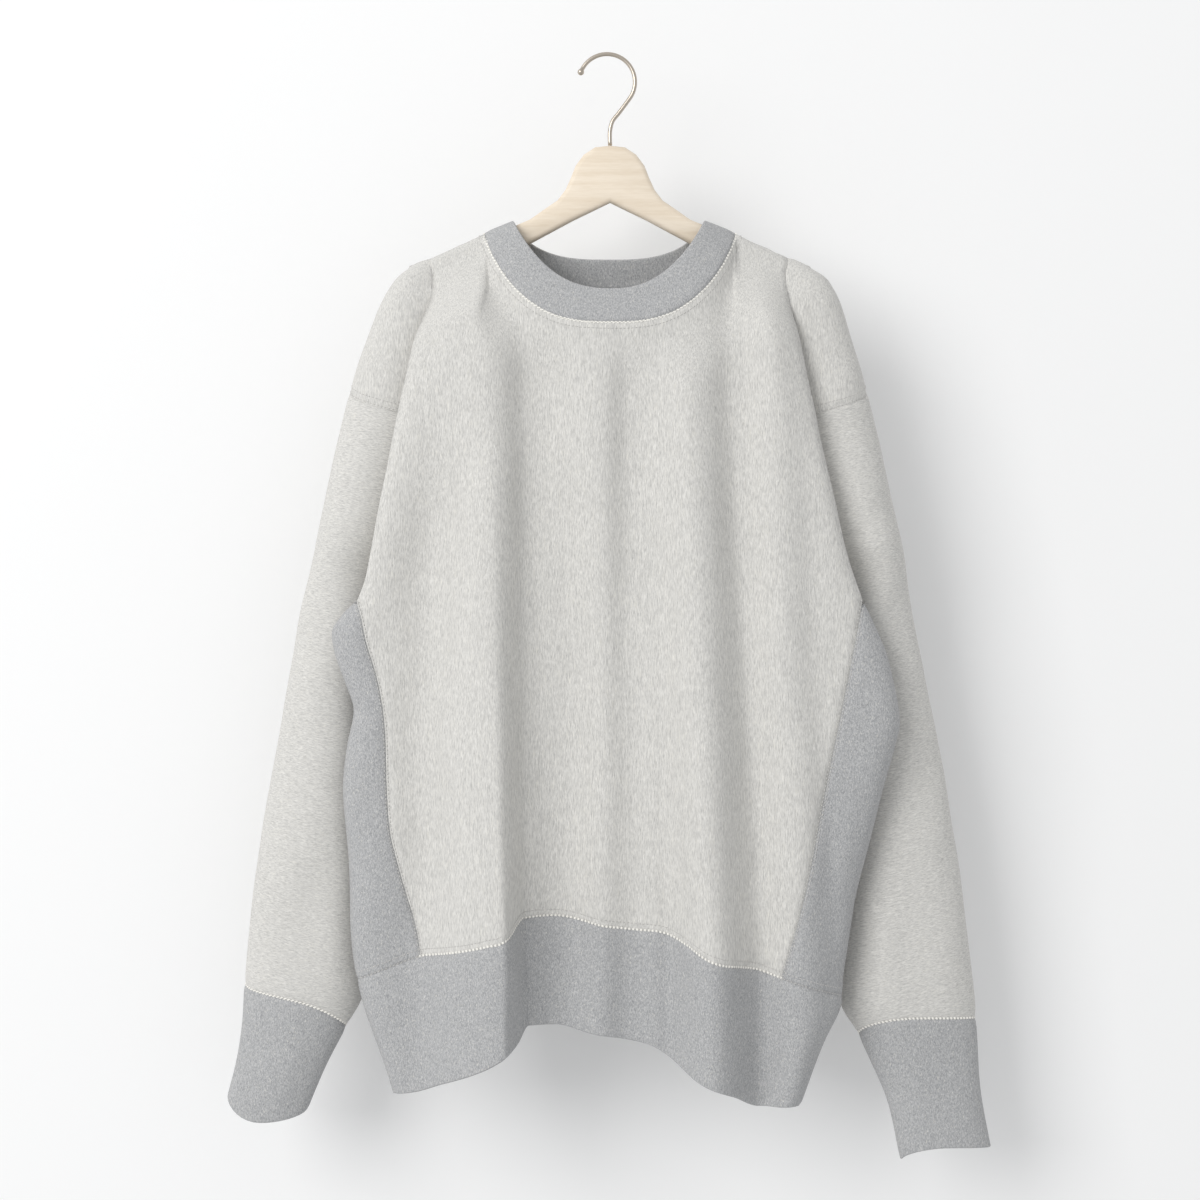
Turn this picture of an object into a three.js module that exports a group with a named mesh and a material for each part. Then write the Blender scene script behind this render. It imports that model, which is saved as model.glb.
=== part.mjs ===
// Crewneck sweatshirt hanging on a wooden hanger with a wire hook. Millimetres, +Z up.
// The origin is where the hook rests on a rail. The front faces -Y and +X is the viewer's right.
import * as THREE from 'three';

// Cloth: wall of the fleece and of the rib knit
const FLEECE_WALL = 2;
const RIB_WALL = 2.4;

// Gap between cut edges at a seam, by how many pieces meet there: a corner needs a wider one
const SEAM_GAPS = { 1: 0.36, 2: 0.36, 3: 0.72, 4: 1 };
const SHARPEST_DRAW = 0.35;

// Heights of the sweatshirt, from its shoulder ends down
const SHOULDER_END = -168;
const SLEEVE_SEAM = -268;
const SLEEVE_SEAM_DROP = 22;
const UNDERARM = -418;
const SIDE_PANEL_FRONT = -436;
const HEM_SEAM = -715;
const HEM_SAG_START = -520;
const FOLD_TOP = -180;
const HEM_NARROWING = 3;

// Shoulder line, worked out from the middle of the hanger
const MIDDLE = 2.4;
const NECK_POINT = { half: 100, z: -142 };
const SHOULDER_SLOPE = 0.462;
const SHOULDER_FOLD = { left: -140, right: 143 };

// Neck: seam and free edge of the neckband, front and back, as depth below the neck point
const NECK_SEAM = {
  half: 100, middle: 2.4, z: -142,
  front: { drop: 74.5, reach: -43, bend: 2.8, fall: 0.8, out: 0.5 },
  back: { drop: 42, reach: 19, bend: 3, fall: 0.9, out: 0.25 },
};
const NECK_EDGE = {
  half: 77, middle: 1.4, z: -132.9,
  front: { drop: 58, reach: -33, bend: 2.4, fall: 0.9, out: 0.35 },
  back: { drop: 29, reach: 15, bend: 3, fall: 0.75, out: 0.2 },
};

// Radius of the cloth where it bends over the hanger's arm, and the depth by which it has fallen clear
const BEND_OVER_ARM = 7.5;
const ARM_REACH = 12;
const FALL_DEPTH = 70;
const EDGE_ROUND = 22;

// Height over which a sleeve closes from a cap on the armhole to a tube, centred on the underarm
const SLEEVE_CLOSING = 90;

// Curve of the cloth behind the front's edge: its handles as shares of the depth turned, and how far
// they bulge outward, beside the armhole above and down the side panel below
const TURN = { edge: [0.34, 0.2], corner: [0.3, 0.42], bulge: [-5, 3], start: 20, height: 60 };

// Number of strips in each stretch of a row, shared by the pieces that meet there
const STRIPS = {
  sleeveHalf: 6, turn: 3, shoulder: 3, frontNeck: 24, backNeck: 12, panelFront: 3, panelSide: 4,
};

const ROW_STEPS = {
  shoulder: [0, 1.5, 4.5, 10, 19, 32, 49, 72],
  armhole: [-290, -312, -337, -364, -389, -405],
  panelTop: [-418, -423, -427.5, -432, -436],
  body: [-450, -467, -490, -520, -552, -585, -618, -650, -680, -700, -715],
  sleeve: [-418, -436, -462, -495, -530, -566, -604, -642, -680, -714, -744],
};
const SLEEVE_FRACTIONS = [0, 0.12, 0.31, 0.5, 0.69, 0.88, 1];
const CUFF_ROWS = 4;
const HEM_ROWS = 4;
const NECK_ROWS = 3;
const SEAM_SEARCHES = 8;

// Colours, with roughness and metalness
const FLEECE = { color: 0xd6d4d0, roughness: 0.95, metalness: 0 };
const RIB = { color: 0xbdbdbd, roughness: 0.95, metalness: 0 };
const WOOD = { color: 0xe3cfae, roughness: 0.5, metalness: 0 };
const METAL = { color: 0xb9aa98, roughness: 0.3, metalness: 1 };

// A table holds one function for each named column, smooth between its rows and without overshoot
function table(names, rows) {
  const sorted = [...rows].sort((a, b) => a[0] - b[0]);
  const keys = sorted.map((row) => row[0]);
  const columns = {};
  names.slice(1).forEach((name, i) => {
    const values = sorted.map((row) => row[i + 1]);
    columns[name] = smoothColumn(keys, values);
  });
  return columns;
}

function smoothColumn(keys, values) {
  const rise = keys.slice(1).map((key, i) => (values[i + 1] - values[i]) / (key - keys[i]));
  const slopes = values.map((_, i) => {
    if (i === 0) return rise[0];
    if (i === rise.length) return rise[i - 1];
    if (rise[i - 1] * rise[i] <= 0) return 0;
    const mean = (rise[i - 1] + rise[i]) / 2;
    const limit = 3 * Math.min(Math.abs(rise[i - 1]), Math.abs(rise[i]));
    return Math.sign(mean) * Math.min(Math.abs(mean), limit);
  });
  return (key) => {
    if (key <= keys[0]) return values[0];
    if (key >= keys[keys.length - 1]) return values[values.length - 1];
    let i = 0;
    while (key > keys[i + 1]) i += 1;
    const width = keys[i + 1] - keys[i];
    const t = (key - keys[i]) / width;
    const a = (1 + 2 * t) * (1 - t) ** 2;
    const b = t * (1 - t) ** 2;
    const c = t * t * (3 - 2 * t);
    const d = t * t * (t - 1);
    return a * values[i] + b * width * slopes[i] + c * values[i + 1] + d * width * slopes[i + 1];
  };
}

// Edge of the body as the viewer sees it: the fold beside the sleeve, then the side panel's own edge
const LEFT_EDGE = table(['z', 'x', 'y'], [
  [-160, -140, -12],
  [-184, -139, -20],
  [-208, -145.5, -24],
  [-231, -152, -28],
  [-265, -158.7, -31],
  [-337, -173.8, -35],
  [-404, -186.4, -36],
  [-420, -190, -36],
  [-436, -197, -35],
  [-448, -207.5, -33],
  [-461, -215.3, -30],
  [-476, -213, -30],
  [-500, -205, -29],
  [-522, -198.5, -28],
  [-550, -203.5, -27],
  [-585, -207, -26],
  [-640, -203, -25],
  [-700, -201, -25],
  [-730, -197.5, -25],
  [-754, -191, -26],
  [-794, -177, -28],
  [-823, -168, -28],
]);
const RIGHT_EDGE = table(['z', 'x', 'y'], [
  [-160, 143, -12],
  [-184, 143, -20],
  [-224, 150.3, -26],
  [-252, 156, -30],
  [-320, 170.2, -34],
  [-404, 189.5, -36],
  [-436, 201, -35],
  [-458, 211, -32],
  [-474, 218, -30],
  [-506, 226, -30],
  [-532, 230, -30],
  [-547, 227, -28],
  [-585, 217, -27],
  [-626, 206.5, -26],
  [-672, 195.5, -25],
  [-732, 185.3, -25],
  [-752, 184, -26],
  [-782, 170.6, -28],
  [-834, 150.6, -28],
]);

// Seam between the front and each side panel
const LEFT_PANEL_SEAM = table(['z', 'x'], [
  [-436, -197],
  [-449, -193],
  [-467, -189.4],
  [-499, -180],
  [-529, -175.2],
  [-583, -173],
  [-619, -170],
  [-652, -162],
  [-690, -151.7],
  [-735, -144],
]);
const RIGHT_PANEL_SEAM = table(['z', 'x'], [
  [-436, 201],
  [-451, 198],
  [-475, 193.4],
  [-519, 184.5],
  [-612, 165],
  [-669, 153.4],
  [-735, 135],
]);

// Edge of the back: the hidden armhole seam, then the seam with the side panel
const LEFT_BACK_EDGE = table(['z', 'x', 'y'], [
  [-418, -184.5, 6],
  [-432, -181, 11],
  [-455, -176, 15],
  [-500, -171, 19],
  [-600, -167, 21],
  [-700, -164, 20],
  [-734, -162, 19],
  [-823, -140, 14],
]);
const RIGHT_BACK_EDGE = table(['z', 'x', 'y'], [
  [-418, 190, 6],
  [-432, 185, 11],
  [-455, 181, 15],
  [-500, 178, 19],
  [-600, 172, 21],
  [-700, 158, 20],
  [-747, 151, 19],
  [-834, 128, 14],
]);

// Shoulder cap, sleeve and cuff: outer edge, inner edge and how far each face swells
const ARM_COLUMNS = ['z', 'outX', 'outY', 'inX', 'inFront', 'inBack', 'swellFront', 'swellBack'];
const LEFT_ARM = table(ARM_COLUMNS, [
  [-168, -157.7, 0, -140, -10, 10, 10, 10],
  [-176, -166.6, 1, -138, -12, 12, 8, 8],
  [-186, -173.5, 2, -137, -13, 14, 5, 6],
  [-200, -181, 3, -138, -14, 15, 6, 8],
  [-217, -187.7, 4, -140, -14, 16, 7, 9],
  [-252, -200.8, 6, -146, -14, 18, 8, 12],
  [-290, -211, 8, -151, -13, 20, 9, 14],
  [-337, -222.3, 10, -162, -11, 20, 12, 16],
  [-390, -233, 12, -177, -5, 15, 17, 18],
  [-418, -239.5, 13, -184.5, 6, 6, 20, 20],
  [-450, -246.8, 14, -190.5, 8, 8, 22, 21],
  [-507, -257.1, 15, -196, 9, 9, 24, 22],
  [-566, -267.6, 16, -197, 10, 10, 26, 22],
  [-622, -277.9, 16, -197, 10, 10, 26, 22],
  [-677, -285.2, 16, -196, 10, 10, 25, 21],
  [-744, -291, 14, -195, 10, 10, 22, 18],
  [-779, -292.5, 12, -211, 10, 10, 18, 16],
  [-808, -297, 10, -226, 9, 9, 16, 14],
  [-851, -309, 8, -244, 8, 8, 14, 12],
]);
const RIGHT_ARM = table(ARM_COLUMNS, [
  [-168, 162, 0, 143, -10, 10, 10, 10],
  [-176, 173.3, 1, 141, -12, 12, 8, 8],
  [-186, 180.5, 2, 141, -13, 14, 5, 6],
  [-200, 186.8, 3, 141, -14, 15, 6, 8],
  [-224, 194.5, 5, 144, -14, 16, 7, 10],
  [-252, 203, 7, 149, -14, 18, 8, 12],
  [-300, 215.9, 10, 157, -13, 20, 9, 15],
  [-339, 224.8, 11, 165, -11, 20, 12, 16],
  [-390, 236, 13, 181, -5, 15, 17, 18],
  [-418, 240.8, 14, 190, 6, 6, 19, 20],
  [-450, 246.6, 16, 196, 7, 7, 20, 20],
  [-500, 256.4, 18, 203, 12, 12, 20, 20],
  [-560, 268.3, 20, 205, 14, 14, 22, 20],
  [-613, 277.5, 20, 199, 14, 14, 24, 20],
  [-677, 287, 20, 193, 12, 12, 25, 20],
  [-757, 296, 17, 188.4, 11, 11, 23, 18],
  [-784, 296.6, 15, 203, 11, 11, 20, 17],
  [-828, 299.3, 12, 223, 10, 10, 17, 15],
  [-885, 310, 8, 237.5, 8, 8, 15, 13],
]);

// Where each cuff's seam and free edge lie, from the outer edge of the arm to its inner edge
const LEFT_CUFF = table(['inward', 'seam', 'free'], [
  [0, -744, -831],
  [0.5, -756, -851],
  [0.85, -773, -846],
  [1, -777, -841],
]);
const RIGHT_CUFF = table(['inward', 'seam', 'free'], [
  [0, -772, -873],
  [0.5, -769, -871],
  [1, -784, -882.7],
]);

// The hem band's seam and free edge, from the left edge of a face to its right edge
const FRONT_HEM = table(['across', 'seam', 'free'], [
  [0, -734, -823],
  [0.07, -724, -819],
  [0.135, -715, -811.5],
  [0.205, -710, -803],
  [0.274, -703.5, -792],
  [0.318, -698, -781],
  [0.346, -685, -768],
  [0.4, -684, -768],
  [0.47, -689, -773.5],
  [0.568, -694.5, -780],
  [0.62, -696, -785],
  [0.67, -704, -796],
  [0.72, -715, -807],
  [0.81, -724, -819.5],
  [0.89, -733, -831],
  [1, -747, -830],
]);
const BACK_HEM = table(['across', 'seam', 'free'], [
  [0, -730, -814],
  [0.15, -712, -796],
  [0.3, -694, -774],
  [0.5, -686, -767],
  [0.68, -696, -778],
  [0.85, -722, -806],
  [1, -742, -824],
]);

// Folds of each face: ridges come forward, hollows (a lift below zero) go back, from shoulder to hem
const FRONT_FOLDS = [
  { name: 'left ridge', x: [-98, -80], lift: [7, 36], left: [42, 78], right: [34, 15] },
  { name: 'deep hollow', x: [-60, -44], lift: [-7, -7], left: [26, 24], right: [30, 42] },
  { name: 'middle ridge', x: [-6, -10], lift: [5, 3], left: [30, 30], right: [22, 24] },
  { name: 'middle hollow', x: [17, 20], lift: [-4, -5], left: [18, 26], right: [22, 22] },
  { name: 'right ridge', x: [60, 82], lift: [8, 31], left: [30, 38], right: [34, 40] },
  { name: 'side hollow', x: [101, 112], lift: [-5, -3], left: [24, 26], right: [26, 26] },
  { name: 'side ridge', x: [126, 152], lift: [4, 14], left: [22, 30], right: [22, 30] },
];
const BACK_FOLDS = [
  { name: 'left ridge', x: [-95, -112], lift: [3, 10], left: [36, 46], right: [36, 40] },
  { name: 'left hollow', x: [-45, -58], lift: [-4, -12], left: [34, 34], right: [34, 36] },
  { name: 'middle ridge', x: [5, -4], lift: [4, 9], left: [36, 34], right: [36, 36] },
  { name: 'right hollow', x: [58, 54], lift: [-4, -11], left: [34, 36], right: [34, 34] },
  { name: 'right ridge', x: [105, 108], lift: [3, 10], left: [36, 40], right: [36, 44] },
];
const FACE = table(['z', 'front', 'back'], [
  [-160, -24, 16],
  [-220, -35, 23],
  [-300, -40, 27],
  [-450, -42, 29],
  [-600, -43, 30],
  [-715, -39, 29],
  [-830, -39, 26],
]);

// Hanger: outline of its upper edge from the middle, the notch below it, and the arm's sizes
const HEAD = [[11.8, -73], [21, -79], [27.6, -88], [31.5, -98], [35.6, -107], [42, -115.5], [52, -122.3]];
const HEAD_TOP = -71.8;
const ARM = { startHalf: 64, startTop: -130.8, endHalf: 154, endTop: -165.3, height: 16.5, belly: 3 };
const TIP = { length: 7, shoulder: 0.9, side: 1.5, heel: 0.8 };
const NOTCH = { half: 30, top: -117.4, bottom: -132 };
const WOOD_THICK = 10;
const WOOD_ROUND = 4;

// Hook: bent wire with a ball at its free end
const HOOK = { wire: 1.7, bend: 22.4, ball: 2.7, start: 166, end: -38 };
const HOOK_STEPS = { bend: 26, wire: 44, ball: 7, sides: 12 };
const BALL_SHARE = 0.83;
const HOOK_STEM = [[9.4, -45.6], [4.4, -52], [2.4, -60], [2.4, -71.4]];

const lerp = THREE.MathUtils.lerp;
const clamp01 = (t) => Math.min(1, Math.max(0, t));
const ease = (t) => clamp01(t) ** 2 * (3 - 2 * clamp01(t));
const arc = (t) => Math.sqrt(1 - (1 - clamp01(t)) ** 2);
const steps = (count) => Array.from({ length: count + 1 }, (_, i) => i / count);
const point = (x, y, z) => new THREE.Vector3(x, y, z);

const LEFT = {
  edge: LEFT_EDGE, seam: LEFT_PANEL_SEAM, backEdge: LEFT_BACK_EDGE, arm: LEFT_ARM, cuff: LEFT_CUFF,
  across: 0, foldX: SHOULDER_FOLD.left,
};
const RIGHT = {
  edge: RIGHT_EDGE, seam: RIGHT_PANEL_SEAM, backEdge: RIGHT_BACK_EDGE, arm: RIGHT_ARM, cuff: RIGHT_CUFF,
  across: 1, foldX: SHOULDER_FOLD.right,
};

// The line that the cloth hangs from: shoulder seams and neck seam
function topLine(x, face) {
  const half = Math.abs(x - MIDDLE);
  if (half >= NECK_POINT.half) {
    return { y: 0, z: NECK_POINT.z - (half - NECK_POINT.half) * SHOULDER_SLOPE };
  }
  const inside = 1 - (half / NECK_POINT.half) ** NECK_SEAM[face].bend;
  return {
    y: NECK_SEAM[face].reach * inside ** NECK_SEAM[face].out,
    z: NECK_POINT.z - NECK_SEAM[face].drop * inside ** NECK_SEAM[face].fall,
  };
}

// Real height of a point on a row: rows bunch up to the top line, and sag to the hem below
function rowHeight(level, top, hem) {
  const nearTop = clamp01((level - SLEEVE_SEAM) / (SHOULDER_END - SLEEVE_SEAM));
  const nearHem = ease((HEM_SAG_START - level) / (HEM_SAG_START - HEM_SEAM));
  return level + (top - SHOULDER_END) * nearTop + (hem - HEM_SEAM) * nearHem;
}

// Depth of the cloth below the top line, bent over the hanger's arm where it has one
function drape(depth, top, full) {
  const fallen = ease(depth / FALL_DEPTH);
  const overArm = clamp01(1 - Math.abs(top) / ARM_REACH);
  const bend = Math.sign(full) * BEND_OVER_ARM * arc(depth / BEND_OVER_ARM) * overArm * (1 - fallen);
  return lerp(top, full, fallen) + bend;
}

function foldDepth(folds, x, z) {
  const down = clamp01((z - FOLD_TOP) / (HEM_SEAM - FOLD_TOP));
  let depth = 0;
  for (const fold of folds) {
    const away = x - lerp(...fold.x, down);
    const reach = away < 0 ? lerp(...fold.left, down) : lerp(...fold.right, down);
    const t = Math.min(1, Math.abs(away) / reach);
    depth += lerp(...fold.lift, down) * (1 - t * t) ** 2;
  }
  return depth;
}

// The band below the hem seam narrows at its sides, and its middle hangs straight
function acrossBody(leftX, rightX, across, z, hem) {
  const above = Math.max(z, hem.seam(across));
  const fromLeft = (leftX(z) - leftX(above)) * (1 - across) ** HEM_NARROWING;
  const fromRight = (rightX(z) - rightX(above)) * across ** HEM_NARROWING;
  return lerp(leftX(above), rightX(above), across) + fromLeft + fromRight;
}

// Front face at a share across from the left edge to the right one
function frontPoint(across, level) {
  const startX = lerp(LEFT.foldX, RIGHT.foldX, across);
  const top = topLine(startX, 'front');
  const z = faceHeight(FRONT_HEM, across, level, top.z);
  const x = acrossBody(LEFT.edge.x, RIGHT.edge.x, across, z, FRONT_HEM);
  const spread = ease((top.z - z) / FALL_DEPTH);
  const near = Math.min(x - LEFT.edge.x(z), RIGHT.edge.x(z) - x);
  const edgeY = lerp(LEFT.edge.y(z), RIGHT.edge.y(z), across);
  const faceY = FACE.front(z) - foldDepth(FRONT_FOLDS, x, z);
  const full = lerp(edgeY, faceY, arc(near / EDGE_ROUND));
  return point(lerp(startX, x, spread), drape(top.z - z, top.y, full), z);
}

// Levels below the hem seam stand for the hem band: 0 to 1 below it is the band's height
function faceHeight(hem, across, level, top) {
  if (level < HEM_SEAM) return lerp(hem.seam(across), hem.free(across), HEM_SEAM - level);
  return rowHeight(level, top, hem.seam(across));
}

function backCorner(side, z) {
  if (z < UNDERARM) return { x: side.backEdge.x(z), y: side.backEdge.y(z) };
  return { x: side.arm.inX(z), y: side.arm.inBack(z) };
}

function backPoint(across, level) {
  const startX = lerp(LEFT.foldX, RIGHT.foldX, across);
  const top = topLine(startX, 'back');
  const z = faceHeight(BACK_HEM, across, level, top.z);
  const left = backCorner(LEFT, z);
  const right = backCorner(RIGHT, z);
  const edgeX = (side) => (at) => backCorner(side, at).x;
  const x = acrossBody(edgeX(LEFT), edgeX(RIGHT), across, z, BACK_HEM);
  const spread = ease((top.z - z) / FALL_DEPTH);
  const near = Math.min(x - left.x, right.x - x);
  const faceY = FACE.back(z) + foldDepth(BACK_FOLDS, x, z);
  const full = lerp(lerp(left.y, right.y, across), faceY, arc(near / EDGE_ROUND));
  return point(lerp(startX, x, spread), drape(top.z - z, top.y, full), z);
}

// Shoulder cap and sleeve: inward runs from the outer edge to the armhole, or to the inner edge below it
function armPoint(side, face, inward, z) {
  const arm = side.arm;
  const closed = ease((UNDERARM + SLEEVE_CLOSING / 2 - z) / SLEEVE_CLOSING);
  const open = Math.PI * inward / 2;
  const round = (1 - Math.cos(Math.PI * inward)) / 2;
  const inY = face === 'front' ? arm.inFront(z) : arm.inBack(z);
  const swell = face === 'front' ? -arm.swellFront(z) : arm.swellBack(z);
  const x = lerp(arm.outX(z), arm.inX(z), lerp(1 - Math.cos(open), round, closed));
  const y = lerp(arm.outY(z), inY, lerp(Math.sin(open), round, closed));
  return point(x, y + swell * Math.sin(Math.PI * inward), z);
}

function capPoint(side, face, inward, level) {
  const startX = lerp(side.arm.outX(SHOULDER_END), side.foldX, inward);
  const top = lerp(SHOULDER_END, topLine(side.foldX, face).z, inward);
  const z = rowHeight(level, top, HEM_SEAM);
  const lying = armPoint(side, face, inward, z);
  const depth = Math.max(0, SHOULDER_END - level);
  const fallen = arc(depth / (2 * BEND_OVER_ARM));
  return point(lerp(startX, lying.x, fallen), lying.y * fallen, z);
}

// The cloth that turns back behind the front's edge: to the armhole, or as a side panel to the back
function turnPoint(side, around, z) {
  const edge = point(side.edge.x(z), side.edge.y(z), z);
  const outward = side === LEFT ? -1 : 1;
  const isPanel = z <= UNDERARM;
  const corner = isPanel ? backCorner(side, z) : { x: side.arm.inX(z), y: side.arm.inFront(z) };
  const span = corner.y - edge.y;
  const below = ease((UNDERARM + TURN.start - z) / TURN.height);
  const first = point(edge.x, edge.y + span * lerp(...TURN.edge, below), z);
  const bulge = outward * lerp(...TURN.bulge, below);
  const second = point(corner.x + bulge, corner.y - span * lerp(...TURN.corner, below), z);
  const last = point(corner.x, corner.y, z);
  return new THREE.CubicBezierCurve3(edge, first, second, last).getPoint(around);
}

function turnRow(side, around, level) {
  if (level < HEM_SEAM) {
    const seam = lerp(FRONT_HEM.seam(side.across), BACK_HEM.seam(side.across), around);
    const free = lerp(FRONT_HEM.free(side.across), BACK_HEM.free(side.across), around);
    return turnPoint(side, around, lerp(seam, free, HEM_SEAM - level));
  }
  const hem = lerp(FRONT_HEM.seam(side.across), BACK_HEM.seam(side.across), around);
  const top = topLine(side.foldX, 'front').z;
  const z = rowHeight(level, top, hem);
  const turned = turnPoint(side, around, z);
  if (level <= UNDERARM) return turned;
  const straight = turnPoint(side, 0, z).lerp(turnPoint(side, 1, z), around);
  const fallen = arc((top - z) / (2 * BEND_OVER_ARM));
  const hung = frontPoint(side.across, level).lerp(capPoint(side, 'front', 1, level), around);
  return hung.addScaledVector(turned.sub(straight), fallen);
}

// Share across the front where the side panel's seam lies
function seamAcross(side, level) {
  let across = side.across;
  for (let i = 0; i < SEAM_SEARCHES; i += 1) {
    const z = rowHeight(level, SHOULDER_END, FRONT_HEM.seam(across));
    across = (side.seam.x(z) - LEFT.edge.x(z)) / (RIGHT.edge.x(z) - LEFT.edge.x(z));
  }
  return across;
}

const SHOULDER_LEVELS = ROW_STEPS.shoulder.map((depth) => SHOULDER_END - depth);
const SEAM_LEVELS = SLEEVE_FRACTIONS.map((inward) => SLEEVE_SEAM - SLEEVE_SEAM_DROP * inward);
const PANEL_LEVELS = [...ROW_STEPS.panelTop, ...ROW_STEPS.body];
const BODY_LEVELS = [...SHOULDER_LEVELS, ...SEAM_LEVELS, ...ROW_STEPS.armhole.slice(1), ...PANEL_LEVELS];
const CAP_END = SLEEVE_SEAM - SLEEVE_SEAM_DROP;

// How far inward the sleeve seam lies on a row, and how far round the side panel's seam does
const capStart = (level) => clamp01((SLEEVE_SEAM - level) / SLEEVE_SEAM_DROP);
const turnStart = (level) => clamp01((level - SIDE_PANEL_FRONT) / (UNDERARM - SIDE_PANEL_FRONT));

function capRow(side, face, level) {
  const start = capStart(level);
  return steps(STRIPS.sleeveHalf).map((t) => {
    const inward = lerp(start, 1, t);
    return level > CAP_END ? capPoint(side, face, inward, level) : armholePoint(side, face, level);
  });
}

function armholePoint(side, face, level) {
  if (level <= UNDERARM) return turnRow(side, 1, level);
  return capPoint(side, face, 1, level);
}

function faceShares(neckStrips) {
  const width = RIGHT.foldX - LEFT.foldX;
  const neckLeft = (MIDDLE - NECK_POINT.half - LEFT.foldX) / width;
  const neckRight = (MIDDLE + NECK_POINT.half - LEFT.foldX) / width;
  const shoulder = steps(STRIPS.shoulder);
  const neck = steps(neckStrips).map((t) => (1 - Math.cos(Math.PI * t)) / 2);
  return [
    ...shoulder.map((t) => t * neckLeft),
    ...neck.slice(1, -1).map((t) => lerp(neckLeft, neckRight, t)),
    ...shoulder.map((t) => lerp(neckRight, 1, t)),
  ];
}

// Rows of each piece, from the top down, each running left to right as seen from outside
function frontRow(level) {
  const start = seamAcross(LEFT, level);
  const end = seamAcross(RIGHT, level);
  const onFace = level < SIDE_PANEL_FRONT;
  const shares = faceShares(STRIPS.frontNeck);
  const middle = shares.map((t) => frontPoint(onFace ? lerp(start, end, t) : t, level));
  if (onFace) return middle;
  const turn = steps(STRIPS.turn).map((t) => lerp(turnStart(level), 0, t));
  const half = (side) => {
    const turned = turn.map((around) => turnRow(side, around, level));
    const noCap = Array(STRIPS.sleeveHalf + 1).fill(turned[0]);
    return [...(level > UNDERARM ? capRow(side, 'front', level) : noCap), ...turned];
  };
  return [...half(LEFT), ...middle, ...half(RIGHT).reverse()];
}

function backRow(level) {
  const middle = faceShares(STRIPS.backNeck).map((t) => backPoint(t, level));
  return [
    ...capRow(LEFT, 'back', level),
    ...middle,
    ...capRow(RIGHT, 'back', level).reverse(),
  ].reverse();
}

function panelRow(side, level) {
  const start = level < SIDE_PANEL_FRONT ? 0 : turnStart(level);
  const seam = level < SIDE_PANEL_FRONT ? seamAcross(side, Math.max(level, HEM_SEAM)) : side.across;
  const front = steps(STRIPS.panelFront).map((t) => lerp(seam, side.across, t));
  const around = steps(STRIPS.panelSide).map((t) => lerp(start, 1, t));
  const row = [
    ...(level < SIDE_PANEL_FRONT ? front.map((across) => frontPoint(across, level)) : []),
    ...around.map((t) => turnRow(side, t, level)),
  ];
  return side === LEFT ? row.reverse() : row;
}

function hemRow(level) {
  const start = seamAcross(LEFT, HEM_SEAM);
  const end = seamAcross(RIGHT, HEM_SEAM);
  const front = faceShares(STRIPS.frontNeck).map((t) => frontPoint(lerp(start, end, t), level));
  const back = faceShares(STRIPS.backNeck).map((t) => backPoint(t, level)).reverse();
  const row = [...front, ...panelRow(RIGHT, level), ...back, ...panelRow(LEFT, level)];
  return [...row, row[0]];
}

// Sleeve rows lean from the sleeve seam at the top to the cuff's seam at the bottom
function sleeveRow(side, level) {
  const bottom = ROW_STEPS.sleeve[ROW_STEPS.sleeve.length - 1];
  const towardCuff = ease((UNDERARM - level) / (UNDERARM - bottom));
  const belowSeam = clamp01((CAP_END - level) / (CAP_END - UNDERARM));
  const half = (face) => SLEEVE_FRACTIONS.map((inward) => {
    const seam = SLEEVE_SEAM - SLEEVE_SEAM_DROP * inward;
    const upper = lerp(seam, UNDERARM, belowSeam);
    const lower = level + (side.cuff.seam(inward) - bottom) * towardCuff;
    return armPoint(side, face, inward, level > UNDERARM ? upper : lower);
  });
  return ringRow(side, half('front'), half('back'));
}

function cuffRow(side, down) {
  const half = (face) => SLEEVE_FRACTIONS.map((inward) => {
    const z = lerp(side.cuff.seam(inward), side.cuff.free(inward), down);
    return armPoint(side, face, inward, z);
  });
  return ringRow(side, half('front'), half('back'));
}

function ringRow(side, front, back) {
  if (side === LEFT) return [...back.reverse(), ...front];
  return [...front.reverse(), ...back];
}

function neckPoint(face, share, up) {
  const width = RIGHT.foldX - LEFT.foldX;
  const x = LEFT.foldX + share * width;
  const across = clamp01(Math.abs(x - MIDDLE) / NECK_POINT.half) * Math.sign(x - MIDDLE);
  const seam = topLine(x, face);
  const inside = Math.max(0, 1 - Math.abs(across) ** NECK_EDGE[face].bend);
  const edge = point(
    NECK_EDGE.middle + NECK_EDGE.half * across,
    NECK_EDGE[face].reach * inside ** NECK_EDGE[face].out,
    NECK_EDGE.z - NECK_EDGE[face].drop * inside ** NECK_EDGE[face].fall,
  );
  return point(x, seam.y, seam.z).lerp(edge, up);
}

function neckRow(up) {
  const inNeck = (shares) => shares.slice(STRIPS.shoulder, -STRIPS.shoulder);
  const front = inNeck(faceShares(STRIPS.frontNeck)).map((t) => neckPoint('front', t, up));
  const back = inNeck(faceShares(STRIPS.backNeck)).map((t) => neckPoint('back', t, up));
  return [...front, ...back.reverse()];
}

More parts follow.
